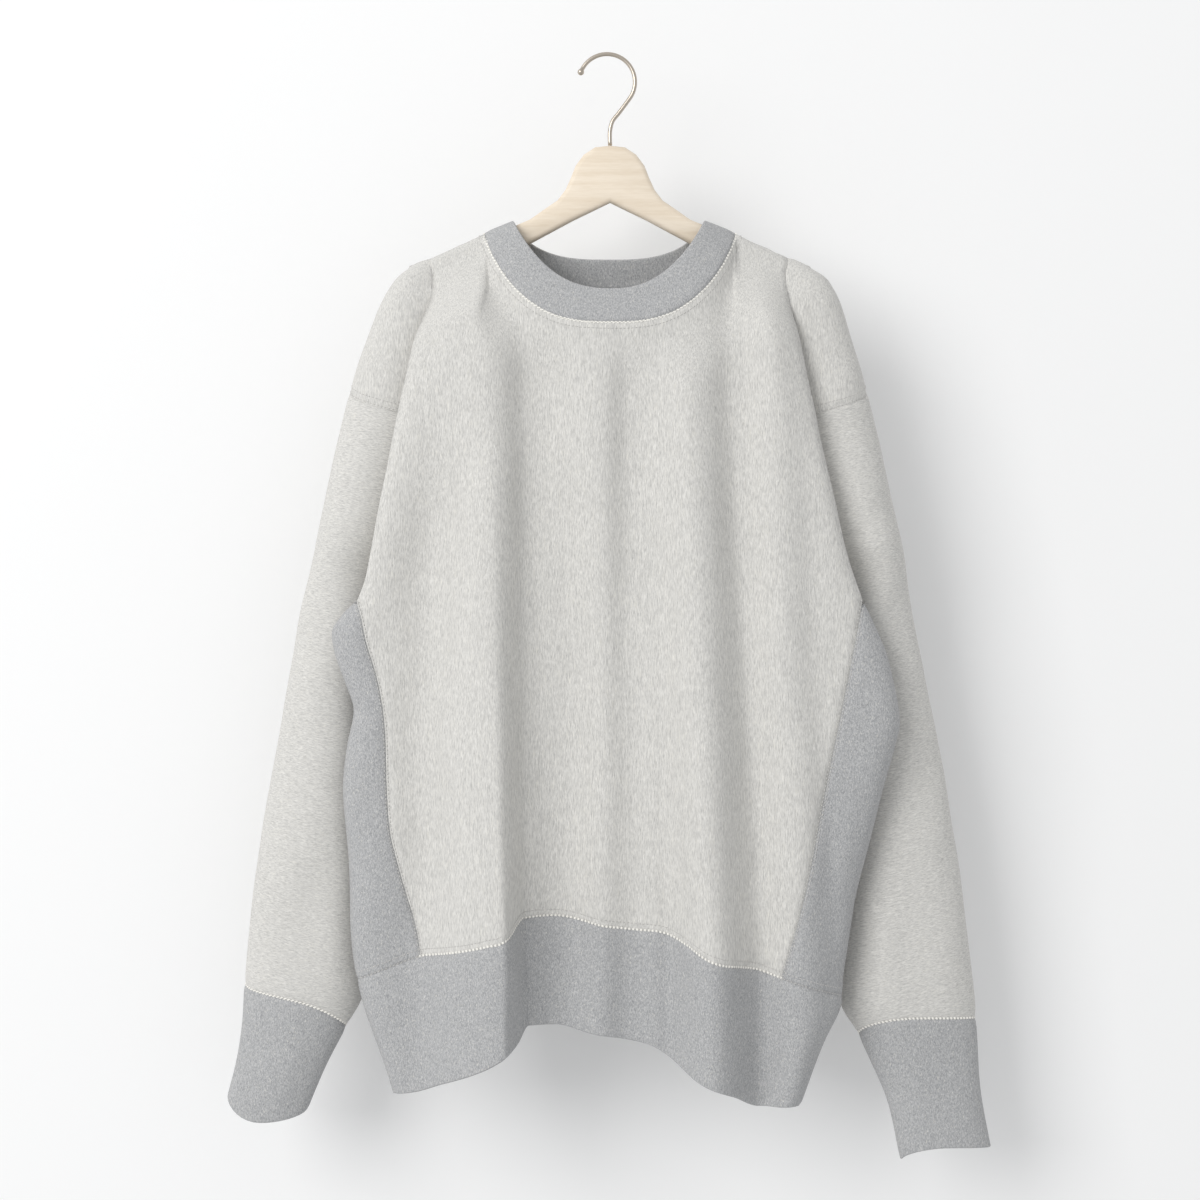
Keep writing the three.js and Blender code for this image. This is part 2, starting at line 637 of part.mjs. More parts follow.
// A piece of cloth: a sheet of points and triangles, wound so that its faces look outward
class Cloth {
  constructor(name, wall, finish, rows) {
    this.name = name;
    this.wall = wall;
    this.finish = finish;
    this.points = [];
    this.faces = [];
    this.known = new Map();
    for (let i = 1; i < rows.length; i += 1) this.strip(rows[i - 1], rows[i]);
  }

  vertex(p) {
    const key = placeKey(p);
    if (!this.known.has(key)) {
      this.known.set(key, this.points.length);
      this.points.push(p);
    }
    return this.known.get(key);
  }

  strip(upper, lower) {
    const a = upper.map((p) => this.vertex(p));
    const b = lower.map((p) => this.vertex(p));
    const count = Math.min(a.length, b.length);
    const span = (i, j) => this.points[i].distanceTo(this.points[j]);
    for (let j = 1; j < count; j += 1) {
      if (span(a[j - 1], b[j]) <= span(a[j], b[j - 1])) {
        this.face(a[j - 1], b[j - 1], b[j]);
        this.face(a[j - 1], b[j], a[j]);
      } else {
        this.face(a[j - 1], b[j - 1], a[j]);
        this.face(a[j], b[j - 1], b[j]);
      }
    }
  }

  face(i, j, k) {
    if (i !== j && j !== k && k !== i) this.faces.push([i, j, k]);
  }

  faceNormal([i, j, k]) {
    const [a, b, c] = [this.points[i], this.points[j], this.points[k]];
    return b.clone().sub(a).cross(c.clone().sub(a));
  }
}

function placeKey(p) {
  return [p.x, p.y, p.z].map((value) => Math.round(value * 500)).join(' ');
}

// Pieces that meet at a seam share one normal there, so that their cut edges stay parallel
function sharedSeams(pieces) {
  const seams = new Map();
  for (const piece of pieces) {
    for (const face of piece.faces) {
      const normal = piece.faceNormal(face);
      for (const i of face) {
        const key = placeKey(piece.points[i]);
        if (!seams.has(key)) seams.set(key, { normal: new THREE.Vector3(), pieces: new Set() });
        seams.get(key).normal.add(normal);
        seams.get(key).pieces.add(piece);
      }
    }
  }
  for (const { normal } of seams.values()) normal.normalize();
  return seams;
}

function borderEdges(piece) {
  const seen = new Map();
  for (const face of piece.faces) {
    for (let e = 0; e < 3; e += 1) {
      const [from, to, opposite] = [face[e], face[(e + 1) % 3], face[(e + 2) % 3]];
      const back = `${to} ${from}`;
      if (seen.has(back)) seen.delete(back);
      else seen.set(`${from} ${to}`, { from, to, opposite });
    }
  }
  return [...seen.values()];
}

// Cut edges draw back from their seams by half the gap
function drawBack(piece, border, seams) {
  const moves = new Map();
  for (const { from, to, opposite } of border) {
    const along = piece.points[to].clone().sub(piece.points[from]).normalize();
    for (const i of [from, to]) {
      const inward = piece.points[opposite].clone().sub(piece.points[from]);
      const { normal } = seams.get(placeKey(piece.points[i]));
      inward.addScaledVector(along, -inward.dot(along));
      inward.addScaledVector(normal, -inward.dot(normal)).normalize();
      if (!moves.has(i)) moves.set(i, []);
      moves.get(i).push(inward);
    }
  }
  const points = piece.points.map((p) => p.clone());
  for (const [i, directions] of moves) {
    const sum = directions.reduce((total, d) => total.add(d), new THREE.Vector3());
    const share = Math.max(SHARPEST_DRAW, sum.length() / directions.length);
    const gap = SEAM_GAPS[seams.get(placeKey(piece.points[i])).pieces.size];
    points[i].addScaledVector(sum.normalize(), gap / 2 / share);
  }
  return points;
}

// Closed wall round a sheet: an outer face, an inner face and a rim along each cut edge.
// Two pieces split the rims of their common seam along the same diagonals.
function wallMesh(piece, seams) {
  const border = borderEdges(piece);
  const middle = drawBack(piece, border, seams);
  const count = middle.length;
  const positions = [];
  for (const side of [1, -1]) {
    middle.forEach((p, i) => {
      const { normal } = seams.get(placeKey(piece.points[i]));
      positions.push(...p.clone().addScaledVector(normal, side * piece.wall / 2).toArray());
    });
  }
  const index = [];
  for (const [i, j, k] of piece.faces) index.push(i, j, k, i + count, k + count, j + count);
  for (const { from, to } of border) {
    const forward = placeKey(piece.points[from]) < placeKey(piece.points[to]);
    if (forward) index.push(from, from + count, to + count, from, to + count, to);
    else index.push(from, from + count, to, to, from + count, to + count);
  }
  return solidMesh(piece.name, positions, index, piece.finish);
}

function solidMesh(name, positions, index, finish) {
  const geometry = new THREE.BufferGeometry();
  geometry.setAttribute('position', new THREE.Float32BufferAttribute(positions, 3));
  geometry.setIndex(index);
  geometry.computeVertexNormals();
  const mesh = new THREE.Mesh(geometry, new THREE.MeshStandardMaterial(finish));
  mesh.name = name;
  return mesh;
}

function buildCloth() {
  const bodyRows = (row) => BODY_LEVELS.map(row);
  const sleeveLevels = [...ROW_STEPS.armhole, ...ROW_STEPS.sleeve];
  const bandLevels = steps(HEM_ROWS).map((down) => HEM_SEAM - down);
  const rib = (name, rows) => new Cloth(name, RIB_WALL, RIB, rows);
  const fleece = (name, rows) => new Cloth(name, FLEECE_WALL, FLEECE, rows);
  const pieces = [
    fleece('front', evenRows(bodyRows(frontRow))),
    fleece('back', bodyRows(backRow)),
    rib('hem_band', bandLevels.map(hemRow)),
    rib('neckband', steps(NECK_ROWS).map((down) => neckRow(1 - down))),
  ];
  for (const [side, word] of [[LEFT, 'left'], [RIGHT, 'right']]) {
    pieces.push(rib(`side_panel_${word}`, PANEL_LEVELS.map((level) => panelRow(side, level))));
    pieces.push(fleece(`sleeve_${word}`, sleeveLevels.map((level) => sleeveRow(side, level))));
    pieces.push(rib(`cuff_${word}`, steps(CUFF_ROWS).map((down) => cuffRow(side, down))));
  }
  const seams = sharedSeams(pieces);
  return pieces.map((piece) => wallMesh(piece, seams));
}

// Rows below the side panel's start have no turned stretch: their ends stand in for it
function evenRows(rows) {
  const full = rows[0].length;
  return rows.map((row) => {
    const missing = (full - row.length) / 2;
    return [...Array(missing).fill(row[0]), ...row, ...Array(missing).fill(row[row.length - 1])];
  });
}

function hangerBody() {
  const upper = [
    ...HEAD,
    [ARM.startHalf, ARM.startTop],
    [ARM.endHalf - TIP.length, ARM.endTop],
    [ARM.endHalf, ARM.endTop - TIP.length * TIP.shoulder],
  ];
  const lower = [
    [ARM.endHalf - TIP.side, ARM.endTop - ARM.height * TIP.heel],
    [ARM.endHalf - TIP.length, ARM.endTop - ARM.height],
    [ARM.startHalf, ARM.startTop - ARM.height - ARM.belly],
    [NOTCH.half, NOTCH.bottom],
  ];
  const right = [...upper, ...lower].map(([dx, z]) => [MIDDLE + dx, z]);
  const left = [...upper, ...lower].reverse().map(([dx, z]) => [MIDDLE - dx, z]);
  const shape = new THREE.Shape();
  shape.moveTo(MIDDLE, HEAD_TOP);
  for (const [x, z] of right) shape.lineTo(x, z);
  shape.lineTo(MIDDLE, NOTCH.top);
  for (const [x, z] of left) shape.lineTo(x, z);
  const geometry = new THREE.ExtrudeGeometry(shape, {
    depth: WOOD_THICK - 2 * WOOD_ROUND, bevelEnabled: true, bevelThickness: WOOD_ROUND,
    bevelSize: WOOD_ROUND, bevelOffset: -WOOD_ROUND, bevelSegments: 3, steps: 1,
  });
  geometry.translate(0, 0, WOOD_ROUND - WOOD_THICK / 2);
  geometry.rotateX(Math.PI / 2);
  const mesh = new THREE.Mesh(geometry, new THREE.MeshStandardMaterial(WOOD));
  mesh.name = 'hanger_body';
  return mesh;
}

// Hook wire: rings along its path, swelling to a ball at the free end
function hangerHook() {
  const centre = -HOOK.bend + HOOK.wire;
  const bend = steps(HOOK_STEPS.bend).map((t) => {
    const angle = THREE.MathUtils.degToRad(lerp(HOOK.start, HOOK.end, t));
    return point(HOOK.bend * Math.cos(angle), 0, centre + HOOK.bend * Math.sin(angle));
  });
  const stem = HOOK_STEM.map(([x, z]) => point(x, 0, z));
  const path = new THREE.CatmullRomCurve3([...bend, ...stem]);
  const length = path.getLength();
  const stations = [];
  for (const t of steps(HOOK_STEPS.ball).slice(1)) {
    const angle = Math.PI * t * BALL_SHARE;
    stations.push({ at: HOOK.ball * (1 - Math.cos(angle)), radius: HOOK.ball * Math.sin(angle) });
  }
  const last = stations[stations.length - 1];
  last.radius = HOOK.wire;
  for (const t of steps(HOOK_STEPS.wire).slice(1)) {
    stations.push({ at: lerp(last.at, length, t), radius: HOOK.wire });
  }
  const positions = [...path.getPointAt(0).toArray()];
  for (const { at, radius } of stations) {
    const along = Math.min(1, at / length);
    const centrePoint = path.getPointAt(along);
    const forward = path.getTangentAt(along);
    const up = new THREE.Vector3(-forward.z, 0, forward.x);
    for (let s = 0; s < HOOK_STEPS.sides; s += 1) {
      const angle = 2 * Math.PI * s / HOOK_STEPS.sides;
      const offset = up.clone().multiplyScalar(Math.cos(angle)).add(point(0, Math.sin(angle), 0));
      positions.push(...centrePoint.clone().addScaledVector(offset, radius).toArray());
    }
  }
  positions.push(...path.getPointAt(1).toArray());
  return solidMesh('hanger_hook', positions, tubeIndex(stations.length, HOOK_STEPS.sides), METAL);
}

function tubeIndex(rings, sides) {
  const index = [];
  const end = 1 + rings * sides;
  for (let s = 0; s < sides; s += 1) {
    const next = (s + 1) % sides;
    index.push(0, 1 + s, 1 + next);
    for (let r = 0; r < rings - 1; r += 1) {
      const a = 1 + r * sides;
      const b = a + sides;
      index.push(a + s, b + s, b + next, a + s, b + next, a + next);
    }
    const top = 1 + (rings - 1) * sides;
    index.push(end, top + next, top + s);
  }
  return index;
}

const sweatshirt = new THREE.Group();
sweatshirt.add(...buildCloth(), hangerBody(), hangerHook());

export default sweatshirt;
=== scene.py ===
"""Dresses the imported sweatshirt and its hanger: heathered cloth, rib bands, stitching, wood and wire."""

import math

import bmesh
import bpy
from bpy.props import FloatProperty, FloatVectorProperty, IntProperty, PointerProperty
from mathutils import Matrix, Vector, noise
from mathutils.bvhtree import BVHTree
from mathutils.kdtree import KDTree


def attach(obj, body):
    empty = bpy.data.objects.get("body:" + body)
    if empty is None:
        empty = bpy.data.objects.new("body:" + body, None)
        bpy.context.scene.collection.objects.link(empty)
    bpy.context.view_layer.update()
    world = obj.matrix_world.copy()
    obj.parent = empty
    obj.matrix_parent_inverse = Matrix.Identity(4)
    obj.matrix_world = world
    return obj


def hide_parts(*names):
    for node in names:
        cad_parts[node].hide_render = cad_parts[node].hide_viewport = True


bl_info = {
    "name": "Sweatshirt on a hanger",
    "version": (1, 0, 0),
    "blender": (4, 5, 0),
    "location": "3D View > Sidebar > Sweatshirt",
    "description": "Builds a crewneck sweatshirt hanging on a wooden hanger",
    "category": "Object",
}

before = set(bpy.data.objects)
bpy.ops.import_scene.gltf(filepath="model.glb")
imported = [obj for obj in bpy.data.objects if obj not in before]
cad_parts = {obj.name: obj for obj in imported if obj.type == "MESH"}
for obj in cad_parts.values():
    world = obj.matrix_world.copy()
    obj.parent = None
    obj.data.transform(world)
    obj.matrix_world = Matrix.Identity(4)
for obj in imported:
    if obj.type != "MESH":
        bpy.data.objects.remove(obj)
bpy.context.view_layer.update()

MM = 0.001

# Heights of the sweatshirt in millimetres, from its shoulder ends down
SHOULDER_END = -168
SLEEVE_SEAM = -268
SLEEVE_SEAM_DROP = 22
CAP_END = SLEEVE_SEAM - SLEEVE_SEAM_DROP
UNDERARM = -418
SIDE_PANEL_FRONT = -436
HEM_SEAM = -715
HEM_SAG_START = -520
FOLD_TOP = -180
HEM_NARROWING = 3

# Shoulder line and neck, from the middle of the hanger
MIDDLE = 2.4
NECK_HALF = 100
NECK_TOP = -142
SHOULDER_SLOPE = 0.462
FOLD_X = {"left": -140, "right": 143}
NECK_SEAM = {
    "front": {"drop": 74.5, "reach": -43, "bend": 2.8, "fall": 0.8, "out": 0.5},
    "back": {"drop": 42, "reach": 19, "bend": 3, "fall": 0.9, "out": 0.25},
}
NECK_EDGE = {
    "front": {"drop": 58, "reach": -33, "bend": 2.4, "fall": 0.9, "out": 0.35},
    "back": {"drop": 29, "reach": 15, "bend": 3, "fall": 0.75, "out": 0.2},
}
NECK_EDGE_HALF = 77
NECK_EDGE_MIDDLE = 1.4
NECK_EDGE_TOP = -132.9

# Bend over the hanger's arm, fall below it, and how the cloth turns at the edges
BEND_OVER_ARM = 7.5
ARM_REACH = 12
FALL_DEPTH = 70
EDGE_ROUND = 22
SLEEVE_CLOSING = 90
TURN = {
    "edge": (0.34, 0.2), "corner": (0.3, 0.42), "bulge": (-5, 3), "start": 20, "height": 60,
    "fold": 16, "deepens": 44,
}

# Strips across each stretch of a row, and the heights that the rows pass through
STRIPS = {
    "sleeve_half": 18, "turn": 8, "shoulder": 8, "front_neck": 96, "back_neck": 60,
    "panel_front": 12, "panel_side": 14,
}
SHOULDER_DEPTHS = [0, 1.5, 4.5, 10, 19, 32, 49, 72]
ARMHOLE_HEIGHTS = [-290, -312, -337, -364, -389, -405, -418]
PANEL_HEIGHTS = [-418, -423, -427.5, -432, -436]
BODY_HEIGHTS = [-436, -450, -467, -490, -520, -552, -585, -618, -650, -680, -700, -715]
SLEEVE_HEIGHTS = [-418, -436, -462, -495, -530, -566, -604, -642, -680, -714, -744]
NECK_CROWDING = 0.7
ROW_SPACING = 3.4
CUFF_ROWS = 28
HEM_ROWS = 28
NECK_ROWS = 10

PIECE_WALLS = {"fleece": 2.0, "rib": 2.4}


def lerp(a, b, t):
    return a + (b - a) * t


def clamp01(t):
    return min(1.0, max(0.0, t))


def ease(t):
    t = clamp01(t)
    return t * t * (3 - 2 * t)


def arc(t):
    return math.sqrt(max(0.0, 1 - (1 - clamp01(t)) ** 2))


def steps(count):
    return [i / count for i in range(count + 1)]


def refine(heights, spacing):
    """The same heights with more between them, none further apart than the spacing."""
    fine = [heights[0]]
    for a, b in zip(heights, heights[1:]):
        count = max(1, math.ceil(abs(b - a) / spacing))
        fine += [lerp(a, b, (i + 1) / count) for i in range(count)]
    return fine


class Table:
    """One smooth function for each named column, with no overshoot between its rows."""

    def __init__(self, names, rows):
        rows = sorted(rows)
        self.keys = [row[0] for row in rows]
        for i, name in enumerate(names.split()):
            setattr(self, name, self.column([row[i + 1] for row in rows]))

    def column(self, values):
        keys = self.keys
        rise = [(values[i + 1] - values[i]) / (keys[i + 1] - keys[i]) for i in range(len(keys) - 1)]
        slopes = [rise[0]]
        for before, after in zip(rise, rise[1:]):
            if before * after <= 0:
                slopes.append(0.0)
                continue
            mean = (before + after) / 2
            limit = 3 * min(abs(before), abs(after))
            slopes.append(math.copysign(min(abs(mean), limit), mean))
        slopes.append(rise[-1])

        def at(key):
            if key <= keys[0]:
                return values[0]
            if key >= keys[-1]:
                return values[-1]
            i = 0
            while key > keys[i + 1]:
                i += 1
            width = keys[i + 1] - keys[i]
            t = (key - keys[i]) / width
            a = (1 + 2 * t) * (1 - t) ** 2
            b = t * (1 - t) ** 2
            c = t * t * (3 - 2 * t)
            d = t * t * (t - 1)
            return a * values[i] + b * width * slopes[i] + c * values[i + 1] + d * width * slopes[i + 1]

        return at


# Edge of the body as the viewer sees it: the fold beside the sleeve, then the side panel's own edge
EDGE = {
    "left": Table("x y", [
        (-160, -140, -12), (-184, -139, -20), (-208, -145.5, -24), (-231, -152, -28),
        (-265, -158.7, -31), (-337, -173.8, -35), (-404, -186.4, -36), (-420, -190, -36),
        (-436, -197, -35), (-448, -207.5, -33), (-461, -215.3, -30), (-476, -213, -30),
        (-500, -205, -29), (-522, -198.5, -28), (-550, -203.5, -27), (-585, -207, -26),
        (-640, -203, -25), (-700, -201, -25), (-730, -197.5, -25), (-754, -191, -26),
        (-794, -177, -28), (-823, -168, -28),
    ]),
    "right": Table("x y", [
        (-160, 143, -12), (-184, 143, -20), (-224, 150.3, -26), (-252, 156, -30),
        (-320, 170.2, -34), (-404, 189.5, -36), (-436, 201, -35), (-458, 211, -32),
        (-474, 218, -30), (-506, 226, -30), (-532, 230, -30), (-547, 227, -28),
        (-585, 217, -27), (-626, 206.5, -26), (-672, 195.5, -25), (-732, 185.3, -25),
        (-752, 184, -26), (-782, 170.6, -28), (-834, 150.6, -28),
    ]),
}

# Seam between the front and each side panel
PANEL_SEAM = {
    "left": Table("x", [
        (-436, -197), (-449, -193), (-467, -189.4), (-499, -180), (-529, -175.2),
        (-583, -173), (-619, -170), (-652, -162), (-690, -151.7), (-735, -144),
    ]),
    "right": Table("x", [
        (-436, 201), (-451, 198), (-475, 193.4), (-519, 184.5), (-612, 165),
        (-669, 153.4), (-735, 135),
    ]),
}

# Edge of the back: the seam with the side panel
BACK_EDGE = {
    "left": Table("x y", [
        (-418, -184.5, 6), (-432, -181, 11), (-455, -176, 15), (-500, -171, 19),
        (-600, -167, 21), (-700, -164, 20), (-734, -162, 19), (-823, -140, 14),
    ]),
    "right": Table("x y", [
        (-418, 190, 6), (-432, 185, 11), (-455, 181, 15), (-500, 178, 19),
        (-600, 172, 21), (-700, 158, 20), (-747, 151, 19), (-834, 128, 14),
    ]),
}

# Shoulder cap, sleeve and cuff: outer edge, inner edge and how far each face swells
ARM_COLUMNS = "out_x out_y in_x in_front in_back swell_front swell_back"
ARM = {
    "left": Table(ARM_COLUMNS, [
        (-168, -157.7, 0, -140, -8, 10, 3, 8),
        (-176, -166.6, 1, -140, -9.5, 12, 4, 7),
        (-186, -173.5, 2, -140, -11.5, 14, 5, 6),
        (-200, -181, 3, -141, -14, 15, 6, 8),
        (-217, -187.7, 4, -140, -14, 16, 7, 9),
        (-252, -200.8, 6, -146, -14, 18, 8, 12),
        (-290, -211, 8, -151, -13, 20, 9, 14),
        (-337, -222.3, 10, -162, -11, 20, 12, 16),
        (-390, -233, 12, -177, -5, 15, 17, 18),
        (-418, -239.5, 13, -184.5, 6, 6, 20, 20),
        (-450, -246.8, 14, -190.5, 8, 8, 22, 21),
        (-507, -257.1, 15, -196, 9, 9, 24, 22),
        (-566, -267.6, 16, -197, 10, 10, 26, 22),
        (-622, -277.9, 16, -197, 10, 10, 26, 22),
        (-677, -285.2, 16, -196, 10, 10, 25, 21),
        (-744, -291, 14, -195, 10, 10, 22, 18),
        (-779, -292.5, 12, -211, 10, 10, 18, 16),
        (-808, -297, 10, -226, 9, 9, 16, 14),
        (-851, -309, 8, -244, 8, 8, 14, 12),
    ]),
    "right": Table(ARM_COLUMNS, [
        (-168, 162, 0, 143, -8, 10, 3, 8),
        (-176, 173.3, 1, 143, -9.5, 12, 4, 7),
        (-186, 180.5, 2, 143, -11.5, 14, 5, 6),
        (-200, 186.8, 3, 143.5, -14, 15, 6, 8),
        (-224, 194.5, 5, 144, -14, 16, 7, 10),
        (-252, 203, 7, 149, -14, 18, 8, 12),
        (-300, 215.9, 10, 157, -13, 20, 9, 15),
        (-339, 224.8, 11, 165, -11, 20, 12, 16),
        (-390, 236, 13, 181, -5, 15, 17, 18),
        (-418, 240.8, 14, 190, 6, 6, 19, 20),
        (-450, 246.6, 16, 196, 7, 7, 20, 20),
        (-500, 256.4, 18, 203, 12, 12, 20, 20),
        (-560, 268.3, 20, 205, 14, 14, 22, 20),
        (-613, 277.5, 20, 199, 14, 14, 24, 20),
        (-677, 287, 20, 193, 12, 12, 25, 20),
        (-757, 296, 17, 188.4, 11, 11, 23, 18),
        (-784, 296.6, 15, 203, 11, 11, 20, 17),
        (-828, 299.3, 12, 223, 10, 10, 17, 15),
        (-885, 310, 8, 237.5, 8, 8, 15, 13),
    ]),
}

# Where each cuff's seam and free edge lie, from the outer edge of the arm to its inner edge
CUFF = {
    "left": Table("seam free", [
        (0, -744, -831), (0.5, -756, -851), (0.85, -773, -846), (1, -777, -841),
    ]),
    "right": Table("seam free", [(0, -772, -873), (0.5, -769, -871), (1, -784, -882.7)]),
}

# The hem band's seam and free edge, from the left edge of a face to its right edge
HEM = {
    "front": Table("seam free", [
        (0, -734, -823), (0.07, -724, -819), (0.135, -715, -811.5), (0.205, -710, -803),
        (0.274, -703.5, -792), (0.318, -698, -781), (0.346, -685, -768), (0.4, -684, -768),
        (0.47, -689, -773.5), (0.568, -694.5, -780), (0.62, -696, -785), (0.67, -704, -796),
        (0.72, -715, -807), (0.81, -724, -819.5), (0.89, -733, -831), (1, -747, -830),
    ]),
    "back": Table("seam free", [
        (0, -730, -814), (0.15, -712, -796), (0.3, -694, -774), (0.5, -686, -767),
        (0.68, -696, -778), (0.85, -722, -806), (1, -742, -824),
    ]),
}

# Folds of each face: middle, lift, and reach to the left and to the right, each at the shoulder and the hem
FOLDS = {
    "front": {
        "left ridge": ((-98, -80), (7, 36), (42, 78), (34, 15)),
        "deep hollow": ((-60, -44), (-7, -7), (26, 24), (30, 42)),
        "middle ridge": ((-6, -10), (5, 3), (30, 30), (22, 24)),
        "middle hollow": ((17, 20), (-4, -5), (18, 26), (22, 22)),
        "right ridge": ((60, 82), (8, 31), (30, 38), (34, 40)),
        "side hollow": ((101, 112), (-5, -3), (24, 26), (26, 26)),
        "side ridge": ((126, 152), (4, 14), (22, 30), (22, 30)),
    },
    "back": {
        "left ridge": ((-95, -112), (3, 10), (36, 46), (36, 40)),
        "left hollow": ((-45, -58), (-4, -12), (34, 34), (34, 36)),
        "middle ridge": ((5, -4), (4, 9), (36, 34), (36, 36)),
        "right hollow": ((58, 54), (-4, -11), (34, 36), (34, 34)),
        "right ridge": ((105, 108), (3, 10), (36, 40), (36, 44)),
    },
}
FACE = Table("front back", [
    (-160, -24, 16), (-220, -35, 23), (-300, -40, 27), (-450, -42, 29),
    (-600, -43, 30), (-715, -39, 29), (-830, -39, 26),
])

# Creases that the larger folds don't hold: face, both ends as x and z, half width and lift
CREASES = [
    ("front", -104, -290, -158, -540, 26, -12),
    ("front", -146, -520, -148, -715, 22, -8),
    ("front", -32, -270, -22, -770, 20, -9),
    ("front", -120, -190, -142, -300, 10, 1.4),
    ("front", 122, -192, 146, -310, 10, 1.5),
    ("front", -196, -236, -166, -286, 11, 1.5),
    ("front", 200, -240, 172, -292, 11, 1.4),
    ("front", -56, -236, -50, -420, 16, -1.6),
    ("front", -22, -250, -16, -520, 18, 1.2),
    ("front", 40, -246, 34, -470, 16, -1.4),
    ("front", 92, -250, 100, -450, 15, -1.4),
    ("front", -112, -300, -128, -520, 17, 1.5),
    ("front", -150, -420, -128, -600, 15, -1.5),
    ("front", 150, -420, 134, -600, 15, -1.5),
    ("front", -96, -520, -102, -715, 18, -1.6),
    ("front", 10, -520, 4, -716, 13, 1.4),
    ("front", 48, -560, 52, -770, 15, -1.6),
    ("front", 118, -590, 112, -790, 14, 1.5),
    ("front", -126, -640, -118, -800, 12, 1.6),
    ("front", -20, -640, -22, -770, 11, -1.5),
    ("front", -182, -448, -176, -500, 9, -1.8),
    ("front", 190, -446, 184, -505, 9, -1.8),
    ("front", -193, -560, -184, -700, 8, -1.6),
    ("front", 206, -560, 184, -700, 9, -1.6),
    ("front", -236, -330, -204, -372, 12, -1.6),
    ("front", -244, -420, -206, -470, 14, -2.0),
    ("front", -250, -470, -214, -530, 13, 1.6),
    ("front", -262, -560, -222, -600, 15, -1.5),
    ("front", -232, -610, -238, -730, 12, -2.0),
    ("front", -268, -640, -270, -742, 10, 1.6),
    ("front", -210, -660, -222, -760, 10, 1.8),
    ("front", 238, -330, 210, -380, 12, -1.6),
    ("front", 246, -412, 216, -470, 13, -2.0),
    ("front", 258, -470, 224, -520, 13, 1.8),
    ("front", 268, -560, 232, -585, 14, -2.0),
    ("front", 276, -600, 236, -640, 15, 1.5),
    ("front", 240, -640, 248, -760, 12, -2.0),
    ("front", 278, -660, 276, -770, 10, 1.5),
    ("front", 214, -680, 226, -775, 10, 1.8),
    ("front", -276, -760, -286, -838, 8, -1.3),
    ("front", -246, -770, -268, -850, 9, 1.2),
    ("front", 266, -785, 278, -872, 9, -1.3),
    ("front", 240, -790, 256, -878, 8, 1.2),
    ("back", -128, -190, -146, -280, 9, -1.6),
    ("back", 130, -190, 150, -280, 9, -1.6),
    ("back", -80, -230, -92, -440, 17, 1.6),
    ("back", -20, -220, -14, -400, 18, -1.5),
    ("back", 66, -230, 82, -430, 16, 1.6),
    ("back", -130, -400, -116, -590, 15, -1.6),
    ("back", 128, -400, 112, -600, 15, -1.6),
    ("back", 10, -470, 4, -700, 16, 1.6),
    ("back", -78, -540, -84, -780, 14, 1.8),
    ("back", 84, -540, 86, -780, 14, 1.7),
    ("back", -30, -560, -34, -760, 12, -1.6),
    ("back", 36, -570, 30, -760, 12, -1.6),
    ("back", -244, -400, -206, -456, 14, -2.0),
    ("back", -262, -540, -220, -590, 15, 1.8),
    ("back", -238, -600, -250, -740, 12, -1.9),
    ("back", 246, -400, 214, -460, 14, -2.0),
    ("back", 268, -540, 230, -596, 15, 1.8),
    ("back", 244, -620, 262, -770, 12, -1.9),
]

SIDES = ("left", "right")
ACROSS = {"left": 0.0, "right": 1.0}
OUTWARD = {"left": -1, "right": 1}


def top_line(x, face):
    """Depth and height of the line that the cloth hangs from: shoulder seams and neck seam."""
    half = abs(x - MIDDLE)
    if half >= NECK_HALF:
        return 0.0, NECK_TOP - (half - NECK_HALF) * SHOULDER_SLOPE
    seam = NECK_SEAM[face]
    inside = 1 - (half / NECK_HALF) ** seam["bend"]
    return seam["reach"] * inside ** seam["out"], NECK_TOP - seam["drop"] * inside ** seam["fall"]


def row_height(level, top, hem):
    near_top = clamp01((level - SLEEVE_SEAM) / (SHOULDER_END - SLEEVE_SEAM))
    near_hem = ease((HEM_SAG_START - level) / (HEM_SAG_START - HEM_SEAM))
    return level + (top - SHOULDER_END) * near_top + (hem - HEM_SEAM) * near_hem


def face_height(hem, across, level, top):
    """Levels below the hem seam stand for the hem band: 0 to 1 below it is the band's height."""
    if level < HEM_SEAM:
        return lerp(hem.seam(across), hem.free(across), HEM_SEAM - level)
    return row_height(level, top, hem.seam(across))


def drape(depth, top, full):
    fallen = ease(depth / FALL_DEPTH)
    over_arm = clamp01(1 - abs(top) / ARM_REACH)
    bend = math.copysign(BEND_OVER_ARM, full) * arc(depth / BEND_OVER_ARM) * over_arm * (1 - fallen)
    return lerp(top, full, fallen) + bend


def fold_depth(face, x, z):
    down = clamp01((z - FOLD_TOP) / (HEM_SEAM - FOLD_TOP))
    depth = 0.0
    for middle, lift, left, right in FOLDS[face].values():
        away = x - lerp(*middle, down)
        reach = lerp(*(left if away < 0 else right), down)
        t = min(1.0, abs(away) / reach)
        depth += lerp(*lift, down) * (1 - t * t) ** 2
    return depth


def across_body(left_x, right_x, across, z, hem):
    """The band below the hem seam narrows at its sides, and its middle hangs straight."""
    above = max(z, hem.seam(across))
    from_left = (left_x(z) - left_x(above)) * (1 - across) ** HEM_NARROWING
    from_right = (right_x(z) - right_x(above)) * across ** HEM_NARROWING
    return lerp(left_x(above), right_x(above), across) + from_left + from_right


